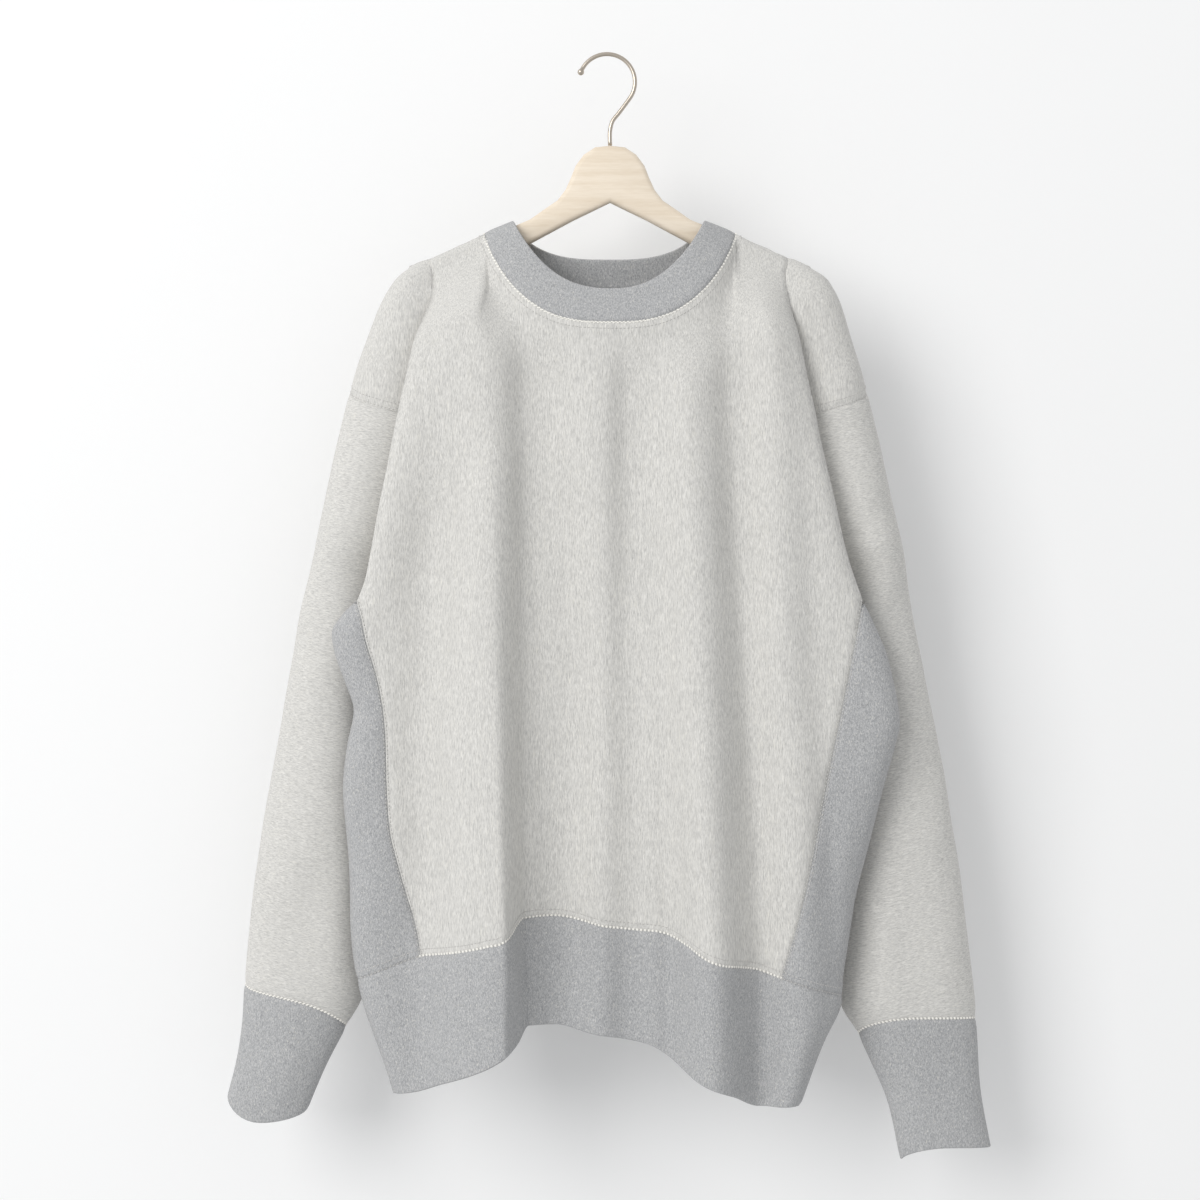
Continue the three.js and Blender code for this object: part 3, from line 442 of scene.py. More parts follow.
def front_point(across, level):
    start_x = lerp(FOLD_X["left"], FOLD_X["right"], across)
    top_y, top_z = top_line(start_x, "front")
    z = face_height(HEM["front"], across, level, top_z)
    left, right = EDGE["left"], EDGE["right"]
    x = across_body(left.x, right.x, across, z, HEM["front"])
    near = min(x - left.x(z), right.x(z) - x)
    face_y = FACE.front(z) - fold_depth("front", x, z)
    full = lerp(lerp(left.y(z), right.y(z), across), face_y, arc(near / EDGE_ROUND))
    spread = ease((top_z - z) / FALL_DEPTH)
    return Vector((lerp(start_x, x, spread), drape(top_z - z, top_y, full), z))


def back_corner(side, z):
    if z < UNDERARM:
        return BACK_EDGE[side].x(z), BACK_EDGE[side].y(z)
    return ARM[side].in_x(z), ARM[side].in_back(z)


def back_point(across, level):
    start_x = lerp(FOLD_X["left"], FOLD_X["right"], across)
    top_y, top_z = top_line(start_x, "back")
    z = face_height(HEM["back"], across, level, top_z)
    left, right = back_corner("left", z), back_corner("right", z)

    def left_x(at):
        return back_corner("left", at)[0]

    def right_x(at):
        return back_corner("right", at)[0]

    x = across_body(left_x, right_x, across, z, HEM["back"])
    near = min(x - left[0], right[0] - x)
    face_y = FACE.back(z) + fold_depth("back", x, z)
    full = lerp(lerp(left[1], right[1], across), face_y, arc(near / EDGE_ROUND))
    spread = ease((top_z - z) / FALL_DEPTH)
    return Vector((lerp(start_x, x, spread), drape(top_z - z, top_y, full), z))


def arm_point(side, face, inward, z):
    """Inward runs from the outer edge to the armhole, or to the sleeve's inner edge below it."""
    arm = ARM[side]
    closed = ease((UNDERARM + SLEEVE_CLOSING / 2 - z) / SLEEVE_CLOSING)
    open_angle = math.pi * inward / 2
    round_share = (1 - math.cos(math.pi * inward)) / 2
    in_y = arm.in_front(z) if face == "front" else arm.in_back(z)
    swell = -arm.swell_front(z) if face == "front" else arm.swell_back(z)
    x = lerp(arm.out_x(z), arm.in_x(z), lerp(1 - math.cos(open_angle), round_share, closed))
    y = lerp(arm.out_y(z), in_y, lerp(math.sin(open_angle), round_share, closed))
    return Vector((x, y + swell * math.sin(math.pi * inward), z))


def cap_point(side, face, inward, level):
    start_x = lerp(ARM[side].out_x(SHOULDER_END), FOLD_X[side], inward)
    top = lerp(SHOULDER_END, top_line(FOLD_X[side], face)[1], inward)
    z = row_height(level, top, HEM_SEAM)
    lying = arm_point(side, face, inward, z)
    fallen = arc(max(0.0, SHOULDER_END - level) / (2 * BEND_OVER_ARM))
    return Vector((lerp(start_x, lying.x, fallen), lying.y * fallen, z))


def turn_point(side, around, z):
    """The cloth behind the front's edge: to the armhole, or as a side panel to the back."""
    edge = Vector((EDGE[side].x(z), EDGE[side].y(z), z))
    if z <= UNDERARM:
        corner_x, corner_y = back_corner(side, z)
    else:
        corner_x, corner_y = ARM[side].in_x(z), ARM[side].in_front(z)
    span = corner_y - edge.y
    below = ease((UNDERARM + TURN["start"] - z) / TURN["height"])
    first = Vector((edge.x, edge.y + span * lerp(*TURN["edge"], below), z))
    bulge = OUTWARD[side] * lerp(*TURN["bulge"], below)
    second = Vector((corner_x + bulge, corner_y - span * lerp(*TURN["corner"], below), z))
    last = Vector((corner_x, corner_y, z))
    t, s = around, 1 - around
    return edge * s ** 3 + first * (3 * s * s * t) + second * (3 * s * t * t) + last * t ** 3


def turn_row(side, around, level):
    across = ACROSS[side]
    seam = lerp(HEM["front"].seam(across), HEM["back"].seam(across), around)
    if level < HEM_SEAM:
        free = lerp(HEM["front"].free(across), HEM["back"].free(across), around)
        return turn_point(side, around, lerp(seam, free, HEM_SEAM - level))
    top = top_line(FOLD_X[side], "front")[1]
    z = row_height(level, top, seam)
    turned = turn_point(side, around, z)
    if level <= UNDERARM:
        return turned
    straight = turn_point(side, 0, z).lerp(turn_point(side, 1, z), around)
    fallen = ease((top - z - TURN["fold"]) / TURN["deepens"])
    hung = front_point(across, level).lerp(cap_point(side, "front", 1, level), around)
    return hung + (turned - straight) * fallen


def seam_across(side, level):
    """Share across the front where the side panel's seam lies."""
    across = ACROSS[side]
    for _ in range(8):
        z = row_height(level, SHOULDER_END, HEM["front"].seam(across))
        left = EDGE["left"].x(z)
        across = (PANEL_SEAM[side].x(z) - left) / (EDGE["right"].x(z) - left)
    return across


def turn_start(level):
    return clamp01((level - SIDE_PANEL_FRONT) / (UNDERARM - SIDE_PANEL_FRONT))


def armhole_point(side, face, level):
    if level <= UNDERARM:
        return turn_row(side, 1, level)
    return cap_point(side, face, 1, level)


def cap_row(side, face, level):
    start = clamp01((SLEEVE_SEAM - level) / SLEEVE_SEAM_DROP)
    if level <= CAP_END:
        return [armhole_point(side, face, level)] * (STRIPS["sleeve_half"] + 1)
    return [cap_point(side, face, lerp(start, 1, t), level) for t in steps(STRIPS["sleeve_half"])]


def face_shares(neck_strips):
    width = FOLD_X["right"] - FOLD_X["left"]
    neck_left = (MIDDLE - NECK_HALF - FOLD_X["left"]) / width
    neck_right = (MIDDLE + NECK_HALF - FOLD_X["left"]) / width
    shoulder = steps(STRIPS["shoulder"])
    neck = [lerp(t, (1 - math.cos(math.pi * t)) / 2, NECK_CROWDING) for t in steps(neck_strips)]
    return (
        [t * neck_left for t in shoulder]
        + [lerp(neck_left, neck_right, t) for t in neck[1:-1]]
        + [lerp(neck_right, 1, t) for t in shoulder]
    )


FRONT_SHARES = face_shares(STRIPS["front_neck"])
BACK_SHARES = face_shares(STRIPS["back_neck"])


def front_row(level):
    """Rows run left to right as seen from outside, and are listed from the top down."""
    if level < SIDE_PANEL_FRONT:
        start, end = seam_across("left", level), seam_across("right", level)
        return [front_point(lerp(start, end, t), level) for t in FRONT_SHARES]
    middle = [front_point(t, level) for t in FRONT_SHARES]
    halves = {}
    for side in SIDES:
        turned = [turn_row(side, lerp(turn_start(level), 0, t), level) for t in steps(STRIPS["turn"])]
        no_cap = [turned[0]] * (STRIPS["sleeve_half"] + 1)
        halves[side] = (cap_row(side, "front", level) if level > UNDERARM else no_cap) + turned
    return halves["left"] + middle + halves["right"][::-1]


def back_row(level):
    middle = [back_point(t, level) for t in BACK_SHARES]
    row = cap_row("left", "back", level) + middle + cap_row("right", "back", level)[::-1]
    return row[::-1]


def panel_row(side, level):
    below = level < SIDE_PANEL_FRONT
    start = 0 if below else turn_start(level)
    row = []
    if below:
        seam = seam_across(side, max(level, HEM_SEAM))
        shares = [lerp(seam, ACROSS[side], t) for t in steps(STRIPS["panel_front"])]
        row = [front_point(across, level) for across in shares]
    row += [turn_row(side, lerp(start, 1, t), level) for t in steps(STRIPS["panel_side"])]
    return row[::-1] if side == "left" else row


def hem_row(level):
    start, end = seam_across("left", HEM_SEAM), seam_across("right", HEM_SEAM)
    front = [front_point(lerp(start, end, t), level) for t in FRONT_SHARES]
    back = [back_point(t, level) for t in BACK_SHARES][::-1]
    row = front + panel_row("right", level) + back + panel_row("left", level)
    return row + row[:1]


def ring_row(side, front, back):
    return back[::-1] + front if side == "left" else front[::-1] + back


def sleeve_row(side, level):
    """Sleeve rows lean from the sleeve seam at the top to the cuff's seam at the bottom."""
    bottom = SLEEVE_HEIGHTS[-1]
    toward_cuff = ease((UNDERARM - level) / (UNDERARM - bottom))
    below_seam = clamp01((CAP_END - level) / (CAP_END - UNDERARM))
    halves = []
    for face in ("front", "back"):
        half = []
        for inward in steps(STRIPS["sleeve_half"]):
            z = lerp(SLEEVE_SEAM - SLEEVE_SEAM_DROP * inward, UNDERARM, below_seam)
            if level <= UNDERARM:
                z = level + (CUFF[side].seam(inward) - bottom) * toward_cuff
            half.append(arm_point(side, face, inward, z))
        halves.append(half)
    return ring_row(side, *halves)


def cuff_row(side, down):
    halves = []
    for face in ("front", "back"):
        halves.append([
            arm_point(side, face, t, lerp(CUFF[side].seam(t), CUFF[side].free(t), down))
            for t in steps(STRIPS["sleeve_half"])
        ])
    return ring_row(side, *halves)


def neck_point(face, share, up):
    x = lerp(FOLD_X["left"], FOLD_X["right"], share)
    across = max(-1.0, min(1.0, (x - MIDDLE) / NECK_HALF))
    seam_y, seam_z = top_line(x, face)
    free = NECK_EDGE[face]
    inside = max(0.0, 1 - abs(across) ** free["bend"])
    edge = Vector((
        NECK_EDGE_MIDDLE + NECK_EDGE_HALF * across,
        free["reach"] * inside ** free["out"],
        NECK_EDGE_TOP - free["drop"] * inside ** free["fall"],
    ))
    return Vector((x, seam_y, seam_z)).lerp(edge, up)


def neck_row(up):
    end = STRIPS["shoulder"]
    front = [neck_point("front", t, up) for t in FRONT_SHARES[end:-end]]
    back = [neck_point("back", t, up) for t in BACK_SHARES[end:-end]]
    return front + back[::-1]


def even_rows(rows):
    """Rows below the side panel's start have no turned stretch: their ends stand in for it."""
    full = len(rows[0])
    even = []
    for row in rows:
        missing = (full - len(row)) // 2
        even.append([row[0]] * missing + row + [row[-1]] * missing)
    return even


def place_key(p):
    return round(p.x * 500), round(p.y * 500), round(p.z * 500)


class Sheet:
    """One cut piece as points and faces, wound so that its faces look outward, in millimetres."""

    def __init__(self, name, cloth, rows):
        self.name = name
        self.cloth = cloth
        self.wall = PIECE_WALLS[cloth]
        self.points = []
        self.keys = []
        self.faces = []
        known = {}
        before = None
        for row in rows:
            line = []
            for p in row:
                key = place_key(p)
                if key not in known:
                    known[key] = len(self.points)
                    self.points.append(p)
                    self.keys.append(key)
                line.append(known[key])
            if before:
                self.strip(before, line)
            before = line

    def strip(self, upper, lower):
        for j in range(1, min(len(upper), len(lower))):
            corners = []
            for i in (upper[j - 1], lower[j - 1], lower[j], upper[j]):
                if i not in corners:
                    corners.append(i)
            if len(corners) > 2:
                self.faces.append(corners)

    def borders(self):
        """Edges with one face, each with the direction that leads into the piece."""
        seen = {}
        for face in self.faces:
            middle = sum((self.points[i] for i in face), Vector()) / len(face)
            for a, b in zip(face, face[1:] + face[:1]):
                if (b, a) in seen:
                    del seen[b, a]
                else:
                    seen[a, b] = middle
        return seen


def vertex_normals(sheets):
    """Pieces that meet at a seam share one normal there."""
    normals = {}
    for sheet in sheets:
        for face in sheet.faces:
            a, b, c = (sheet.points[i] for i in face[:3])
            normal = (b - a).cross(c - a)
            if len(face) == 4:
                normal += (c - a).cross(sheet.points[face[3]] - a)
            for i in face:
                normals.setdefault(sheet.keys[i], Vector()).__iadd__(normal)
    for normal in normals.values():
        normal.normalize()
    return normals


# How a crease fades past its ends, bows along its length and fades on cloth that faces sideways
CREASE_PAST_END = 0.25
CREASE_REACH = 3
CREASE_BOW = {"share": 0.35, "waves": 5}
CREASE_FACING = {"least": 0.1, "rise": 2}


def crease_lift(p, normal):
    """How far the creases move a point outward."""
    lift = 0.0
    for face, x1, z1, x2, z2, width, height in CREASES:
        facing = -normal.y if face == "front" else normal.y
        if facing <= CREASE_FACING["least"]:
            continue
        dx, dz = x2 - x1, z2 - z1
        length = math.hypot(dx, dz)
        along = ((p.x - x1) * dx + (p.z - z1) * dz) / length ** 2
        if not -CREASE_PAST_END < along < 1 + CREASE_PAST_END:
            continue
        bow = width * CREASE_BOW["share"] * math.sin(along * CREASE_BOW["waves"] + x1)
        away = ((p.x - x1) * dz - (p.z - z1) * dx) / length + bow
        if abs(away) > CREASE_REACH * width:
            continue
        share = clamp01((along + CREASE_PAST_END) / (1 + 2 * CREASE_PAST_END))
        taper = math.sin(math.pi * share) ** 2
        faced = clamp01((facing - CREASE_FACING["least"]) * CREASE_FACING["rise"])
        lift += height * taper * math.exp(-((away / width) ** 2)) * faced
    return lift


def cloth_sheets():
    """Every cut piece as laid out, before its creases, seam draw and pucker are worked in."""
    shoulder = [SHOULDER_END - depth for depth in refine(SHOULDER_DEPTHS, ROW_SPACING)]
    seam = [SLEEVE_SEAM - SLEEVE_SEAM_DROP * t for t in steps(STRIPS["sleeve_half"])]
    cap = refine([shoulder[-1], seam[0]], ROW_SPACING)[1:-1]
    armhole = refine(ARMHOLE_HEIGHTS, ROW_SPACING)
    panel = refine(PANEL_HEIGHTS, ROW_SPACING) + refine(BODY_HEIGHTS, ROW_SPACING)[1:]
    body = shoulder + cap + seam + armhole[1:-1] + panel
    sleeve = armhole[:-1] + refine(SLEEVE_HEIGHTS, ROW_SPACING)
    sheets = [
        Sheet("front", "fleece", even_rows([front_row(level) for level in body])),
        Sheet("back", "fleece", [back_row(level) for level in body]),
        Sheet("hem_band", "rib", [hem_row(HEM_SEAM - down) for down in steps(HEM_ROWS)]),
        Sheet("neckband", "rib", [neck_row(1 - down) for down in steps(NECK_ROWS)]),
    ]
    for side in SIDES:
        sheets += [
            Sheet(f"side_panel_{side}", "rib", [panel_row(side, level) for level in panel]),
            Sheet(f"sleeve_{side}", "fleece", [sleeve_row(side, level) for level in sleeve]),
            Sheet(f"cuff_{side}", "rib", [cuff_row(side, down) for down in steps(CUFF_ROWS)]),
        ]
    return sheets


SEAM_WIDTH = 3.6


def shape_sheets(sheets, settings):
    """Moves the points: the listed creases, a soft unevenness, and the draw of each seam."""
    normals = vertex_normals(sheets)
    owners = {}
    for sheet in sheets:
        for key in sheet.keys:
            owners.setdefault(key, set()).add(sheet.name)
    seam_keys = [key for key, names in owners.items() if len(names) > 1]
    tree = KDTree(len(seam_keys))
    for i, key in enumerate(seam_keys):
        tree.insert(Vector(key) / 500, i)
    tree.balance()
    for sheet in sheets:
        moved = []
        for p, key in zip(sheet.points, sheet.keys):
            normal = normals[key]
            _, _, away = tree.find(Vector(key) / 500)
            pucker = noise.noise(p * 0.13) * settings.pucker
            draw = math.exp(-((away / SEAM_WIDTH) ** 2)) * (settings.seam_draw + pucker)
            uneven = noise.noise(p * 0.021 + Vector((7, 0, 0))) * settings.unevenness
            lift = crease_lift(p, normal) * settings.crease_depth + uneven - draw
            moved.append(p + normal * lift)
        sheet.points = moved
    for sheet in sheets:
        sheet.owners = [owners[key] for key in sheet.keys]
    return vertex_normals(sheets)


EDGE_STEPS = (30, 90, 150)


def shell_mesh(sheet, normals):
    """Closed wall round a sheet, with rounded free edges."""
    inward = {}
    borders = sheet.borders()
    for (a, b), middle in borders.items():
        along = (sheet.points[b] - sheet.points[a]).normalized()
        into = middle - sheet.points[a]
        into -= along * into.dot(along)
        for i in (a, b):
            inward.setdefault(i, Vector()).__iadd__(into.normalized())
    half = sheet.wall / 2
    points = [p + normals[key] * half for p, key in zip(sheet.points, sheet.keys)]
    points += [p - normals[key] * half for p, key in zip(sheet.points, sheet.keys)]
    count = len(sheet.points)
    rim = {}
    for i, into in inward.items():
        normal = normals[sheet.keys[i]]
        out = -(into - normal * into.dot(normal)).normalized()
        free = len(sheet.owners[i]) == 1
        reach = half if free else 0.1
        rim[i] = []
        for degrees in EDGE_STEPS:
            angle = math.radians(degrees)
            offset = normal * math.cos(angle) * half + out * math.sin(angle) * reach
            rim[i].append(len(points))
            points.append(sheet.points[i] + offset)
    faces = []
    for face in sheet.faces:
        faces.append(face)
        faces.append([i + count for i in reversed(face)])
    for a, b in borders:
        left = [a, *rim[a], a + count]
        right = [b, *rim[b], b + count]
        for k in range(len(left) - 1):
            faces.append([left[k], left[k + 1], right[k + 1], right[k]])
    mesh = bpy.data.meshes.new(sheet.name + "_cloth")
    mesh.from_pydata([p * MM for p in points], [], faces)
    mesh.polygons.foreach_set("use_smooth", [True] * len(mesh.polygons))
    mesh.validate()
    return mesh


built = {}


def cloth(settings):
    """The cut pieces and their normals, worked out once for all the operators."""
    if not built:
        built["sheets"] = cloth_sheets()
        built["normals"] = shape_sheets(built["sheets"], settings)
        built["by_name"] = {sheet.name: sheet for sheet in built["sheets"]}
    return built


class Value:
    """A shader socket: arithmetic on it adds Math nodes."""

    def __init__(self, shader, socket):
        self.shader = shader
        self.socket = socket

    def math(self, operation, a, b=0.0):
        node = self.shader.node("ShaderNodeMath", {"operation": operation}, {0: a, 1: b})
        return Value(self.shader, node.outputs[0])

    def __add__(self, other):
        return self.math("ADD", self, other)

    def __sub__(self, other):
        return self.math("SUBTRACT", self, other)

    def __rsub__(self, other):
        return self.math("SUBTRACT", other, self)

    def __mul__(self, other):
        return self.math("MULTIPLY", self, other)

    def __truediv__(self, other):
        return self.math("DIVIDE", self, other)

    def clamped(self):
        node = self.shader.node("ShaderNodeClamp", {}, {"Value": self})
        return Value(self.shader, node.outputs[0])

    __radd__ = __add__
    __rmul__ = __mul__


class Shader:
    """A material's node tree."""

    def __init__(self, name):
        self.material = bpy.data.materials.new(name)
        self.material.use_nodes = True
        self.tree = self.material.node_tree
        self.tree.nodes.clear()

    def node(self, kind, settings, sockets):
        node = self.tree.nodes.new(kind)
        for key, value in settings.items():
            if key == "stops":
                while len(node.color_ramp.elements) < len(value):
                    node.color_ramp.elements.new(0.5)
                for element, (position, colour) in zip(node.color_ramp.elements, value):
                    element.position = position
                    element.color = colour
            else:
                setattr(node, key, value)
        for key, value in sockets.items():
            if isinstance(key, int):
                socket = node.inputs[key]
            else:
                socket = next(s for s in node.inputs if key in (s.identifier, s.name))
            if isinstance(value, Value):
                self.tree.links.new(value.socket, socket)
            else:
                socket.default_value = value
        return node

    def out(self, kind, settings, sockets, name=0):
        node = self.node(kind, settings, sockets)
        if isinstance(name, int):
            return Value(self, node.outputs[name])
        return Value(self, next(s for s in node.outputs if name in (s.identifier, s.name)))

    def place(self, rotation=(0, 0, 0), scale=(1, 1, 1)):
        """Object coordinates, turned and then scaled, in steps for each metre."""
        coordinates = self.out("ShaderNodeTexCoord", {}, {}, "Object")
        turned = self.out("ShaderNodeMapping", {}, {"Vector": coordinates, "Rotation": rotation})
        return self.out("ShaderNodeMapping", {}, {"Vector": turned, "Scale": scale})

    def noise(self, vector, detail=2.0, roughness=0.5):
        sockets = {"Vector": vector, "Scale": 1.0, "Detail": detail, "Roughness": roughness}
        return self.out("ShaderNodeTexNoise", {}, sockets, "Fac")

    def mix(self, factor, a, b, blend="MIX"):
        settings = {"data_type": "RGBA", "blend_type": blend}
        sockets = {"Factor_Float": factor, "A_Color": a, "B_Color": b}
        return self.out("ShaderNodeMix", settings, sockets, "Result_Color")

    def bump(self, height, distance, strength=1.0):
        sockets = {"Height": height, "Distance": distance, "Strength": strength}
        return self.out("ShaderNodeBump", {}, sockets, "Normal")

    def finish(self, sockets):
        surface = self.out("ShaderNodeBsdfPrincipled", {}, sockets)
        self.node("ShaderNodeOutputMaterial", {}, {"Surface": surface})
        return self.material


def rgba(colour):
    return (*colour, 1.0)


def heather(name, colours, along, lean=0.0, contrast=1.0, streak=(900, 110), fleck=0.0):
    """Heathered knit: streaks run along the grain, over a fine loop texture."""
    shader = Shader(name)
    light, dark, cream = (rgba(colour) for colour in colours)
    wide, long = streak
    stretch = (wide, wide, long) if along == "down" else (long, long, wide)
    fine_stretch = tuple(value * 2.1 for value in stretch)
    turned = shader.place((0, lean, 0), stretch)
    streaks = shader.noise(turned, 3.0, 0.62)
    fine = shader.noise(shader.place((0, lean, 0), fine_stretch), 2.0, 0.6)
    tone = ((streaks - 0.5) * (3.4 * contrast) + (fine - 0.5) * (2.2 * contrast) + 0.5).clamped()
    colour = shader.mix(tone, dark, light)
    spots = shader.noise(shader.place((0, lean, 0), tuple(value * 0.8 for value in stretch)), 1.0, 0.5)
    mask = ((spots - 0.6) * 9).clamped() * fleck
    colour = shader.mix(mask, colour, cream)
    loops = shader.noise(shader.place((0, 0, 0), (1300, 1300, 1300)), 2.0, 0.6)
    normal = shader.bump(streaks * 0.5 + loops, 0.0004, 0.55)
    return shader.finish({
        "Base Color": colour,
        "Roughness": 0.95,
        "Normal": normal,
        "Sheen Weight": 0.12,
        "Sheen Roughness": 0.6,
        "Specular IOR Level": 0.15,
    })


def rib_knit(name, colours, contrast=1.0):
    """Fine rib: heathered, with close upright ribs."""
    shader = Shader(name)
    light, dark, cream = (rgba(colour) for colour in colours)
    streaks = shader.noise(shader.place((0, 0, 0), (1300, 1300, 520)), 3.0, 0.65)
    fine = shader.noise(shader.place((0, 0, 0), (2600, 2600, 1900)), 2.0, 0.6)
    tone = ((streaks - 0.5) * (2.6 * contrast) + (fine - 0.5) * (2.4 * contrast) + 0.5).clamped()
    colour = shader.mix(tone, dark, light)
    spots = shader.noise(shader.place((0, 0, 0), (1000, 1000, 520)), 1.0, 0.5)
    colour = shader.mix(((spots - 0.62) * 8).clamped() * 0.35, colour, cream)
    normal = shader.bump(streaks * 0.6 + fine, 0.0004, 0.5)
    return shader.finish({
        "Base Color": colour,
        "Roughness": 0.95,
        "Normal": normal,
        "Sheen Weight": 0.1,
        "Sheen Roughness": 0.6,
        "Specular IOR Level": 0.15,
    })


def thread_material(colour):
    shader = Shader("cotton thread")
    return shader.finish({"Base Color": rgba(colour), "Roughness": 0.7, "Specular IOR Level": 0.25})


def beech_material(colour):
    shader = Shader("pale beech")
    grain = shader.noise(shader.place((0, 0, 0), (9, 60, 160)), 4.0, 0.6)
    pores = shader.noise(shader.place((0, 0, 0), (120, 900, 900)), 2.0, 0.5)
    dark = tuple(value * factor for value, factor in zip(colour, (0.86, 0.82, 0.76)))
    tone = ((grain - 0.5) * 2.2 + (pores - 0.5) * 0.8 + 0.6).clamped()
    return shader.finish({
        "Base Color": shader.mix(tone, rgba(dark), rgba(colour)),
        "Roughness": 0.5,
        "Normal": shader.bump(pores, 0.0001, 0.3),
    })


def hook_material(colour):
    shader = Shader("satin hook wire")
    brushed = shader.noise(shader.place((0, 0, 0), (1500, 1500, 300)), 2.0, 0.5)
    return shader.finish({
        "Base Color": rgba(colour),
        "Metallic": 1.0,
        "Roughness": brushed * 0.12 + 0.26,
    })


class ClothSettings(bpy.types.PropertyGroup):
    """How the cloth is creased and coloured."""

    crease_depth: FloatProperty(
        name="Crease depth", description="Share of each crease's own height", default=1.0, min=0, max=2,
        subtype="FACTOR")
    unevenness: FloatProperty(
        name="Unevenness", description="Soft wander of the cloth, in millimetres", default=1.1, min=0, max=4)
    seam_draw: FloatProperty(
        name="Seam draw", description="How far the seams pull in, in millimetres", default=0.9, min=0, max=2)
    pucker: FloatProperty(
        name="Pucker", description="Unevenness along the seams, in millimetres", default=0.8, min=0, max=2)
    fleece_light: FloatVectorProperty(
        name="Fleece, light yarn", description="Lightest tone of the body", subtype="COLOR",
        default=(0.80, 0.785, 0.75), min=0, max=1)
    fleece_dark: FloatVectorProperty(
        name="Fleece, dark yarn", description="Darkest tone of the body", subtype="COLOR",
        default=(0.44, 0.435, 0.42), min=0, max=1)
    cream: FloatVectorProperty(
        name="Cream fleck", description="Undyed fibres", subtype="COLOR",
        default=(0.86, 0.83, 0.74), min=0, max=1)
    rib_light: FloatVectorProperty(
        name="Rib, light yarn", description="Lightest tone of the bands", subtype="COLOR",
        default=(0.56, 0.56, 0.56), min=0, max=1)
    rib_dark: FloatVectorProperty(
        name="Rib, dark yarn", description="Darkest tone of the bands", subtype="COLOR",
        default=(0.28, 0.285, 0.295), min=0, max=1)


class StitchSettings(bpy.types.PropertyGroup):
    """Sizes and colour of the stitching."""

    pitch: FloatProperty(
        name="Pitch", description="Length from one stitch to the next", default=0.0031,
        min=0.001, max=0.01, unit="LENGTH")
    length: FloatProperty(
        name="Stitch length", description="Length of one stitch", default=0.0025,
        min=0.0005, max=0.01, unit="LENGTH")
    thickness: FloatProperty(
        name="Thread", description="Thickness of the thread", default=0.0011,
        min=0.0001, max=0.002, unit="LENGTH")
    fine: FloatProperty(
        name="Fine thread", description="Thickness of the grey thread as a share of the cream one",
        default=0.75, min=0.1, max=1, subtype="FACTOR")
    cream: FloatVectorProperty(
        name="Cream thread", description="Neck, hem and cuff seams", subtype="COLOR",
        default=(0.93, 0.91, 0.86), min=0, max=1)
    grey: FloatVectorProperty(
        name="Grey thread", description="Sleeve and side panel seams", subtype="COLOR",
        default=(0.58, 0.57, 0.55), min=0, max=1)


class HangerSettings(bpy.types.PropertyGroup):
    """Finishes of the hanger."""

    wood: FloatVectorProperty(
        name="Beech", description="Colour of the bare wood", subtype="COLOR",
        default=(0.84, 0.74, 0.61), min=0, max=1)
    wire: FloatVectorProperty(
        name="Hook", description="Colour of the hook's satin metal", subtype="COLOR",
        default=(0.55, 0.49, 0.42), min=0, max=1)


class StageSettings(bpy.types.PropertyGroup):
    """Wall, light and camera."""

    wall_distance: FloatProperty(
        name="Wall distance", description="From the hook to the wall behind", default=0.11,
        min=0.04, max=1, unit="LENGTH")
    wall_colour: FloatVectorProperty(
        name="Wall", description="Colour of the painted wall", subtype="COLOR",
        default=(0.8, 0.8, 0.8), min=0, max=1)
    ambient: FloatProperty(
        name="Room light", description="Even light of the room", default=0.65, min=0, max=5)
    window: FloatProperty(
        name="Window light", description="Power of the large soft light in front, on the left", default=112.0,
        min=0, max=500)
    lens: FloatProperty(
        name="Lens", description="Focal length in millimetres", default=75.0, min=20, max=200)


def add_piece(mesh, material, nodes):
    """A finished piece: linked, riding on the part's one body, in place of its CAD node."""
    piece = bpy.data.objects.new(mesh.name, mesh)
    bpy.context.scene.collection.objects.link(piece)
    mesh.materials.clear()
    mesh.materials.append(material)
    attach(piece, "root")
    if nodes:
        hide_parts(*nodes)
    return piece


def add_cloth(names, materials, settings):
    made = cloth(settings)
    for name, material in zip(names, materials):
        mesh = shell_mesh(made["by_name"][name], made["normals"])
        piece = add_piece(mesh, material, [name])


class SWEATSHIRT_OT_body(bpy.types.Operator):
    """Front and back, over the shoulders to the dropped sleeve seams"""

    bl_idname = "sweatshirt.body"
    bl_label = "Front and back"

    def execute(self, context):
        settings = context.scene.sweatshirt_cloth
        colours = (settings.fleece_light, settings.fleece_dark, settings.cream)
        fleece = heather("body fleece", colours, "down", 0.0, 0.56, (1350, 170), 0.25)
        add_cloth(["front", "back"], [fleece, fleece], settings)
        return {"FINISHED"}


class SWEATSHIRT_OT_sleeves(bpy.types.Operator):
    """Both sleeves, their grain running across the arm"""

    bl_idname = "sweatshirt.sleeves"
    bl_label = "Sleeves"

    lean_degrees: IntProperty(
        name="Lean", description="Angle of the sleeves from upright", default=11, min=0, max=45)

    def execute(self, context):
        settings = context.scene.sweatshirt_cloth
        colours = (settings.fleece_light, settings.fleece_dark, settings.cream)
        lean = math.radians(self.lean_degrees)
        materials = [
            heather("left sleeve fleece", colours, "across", -lean, 0.52, (1500, 260), 0.22),
            heather("right sleeve fleece", colours, "across", lean, 0.52, (1500, 260), 0.22),
        ]
        add_cloth(["sleeve_left", "sleeve_right"], materials, settings)
        return {"FINISHED"}


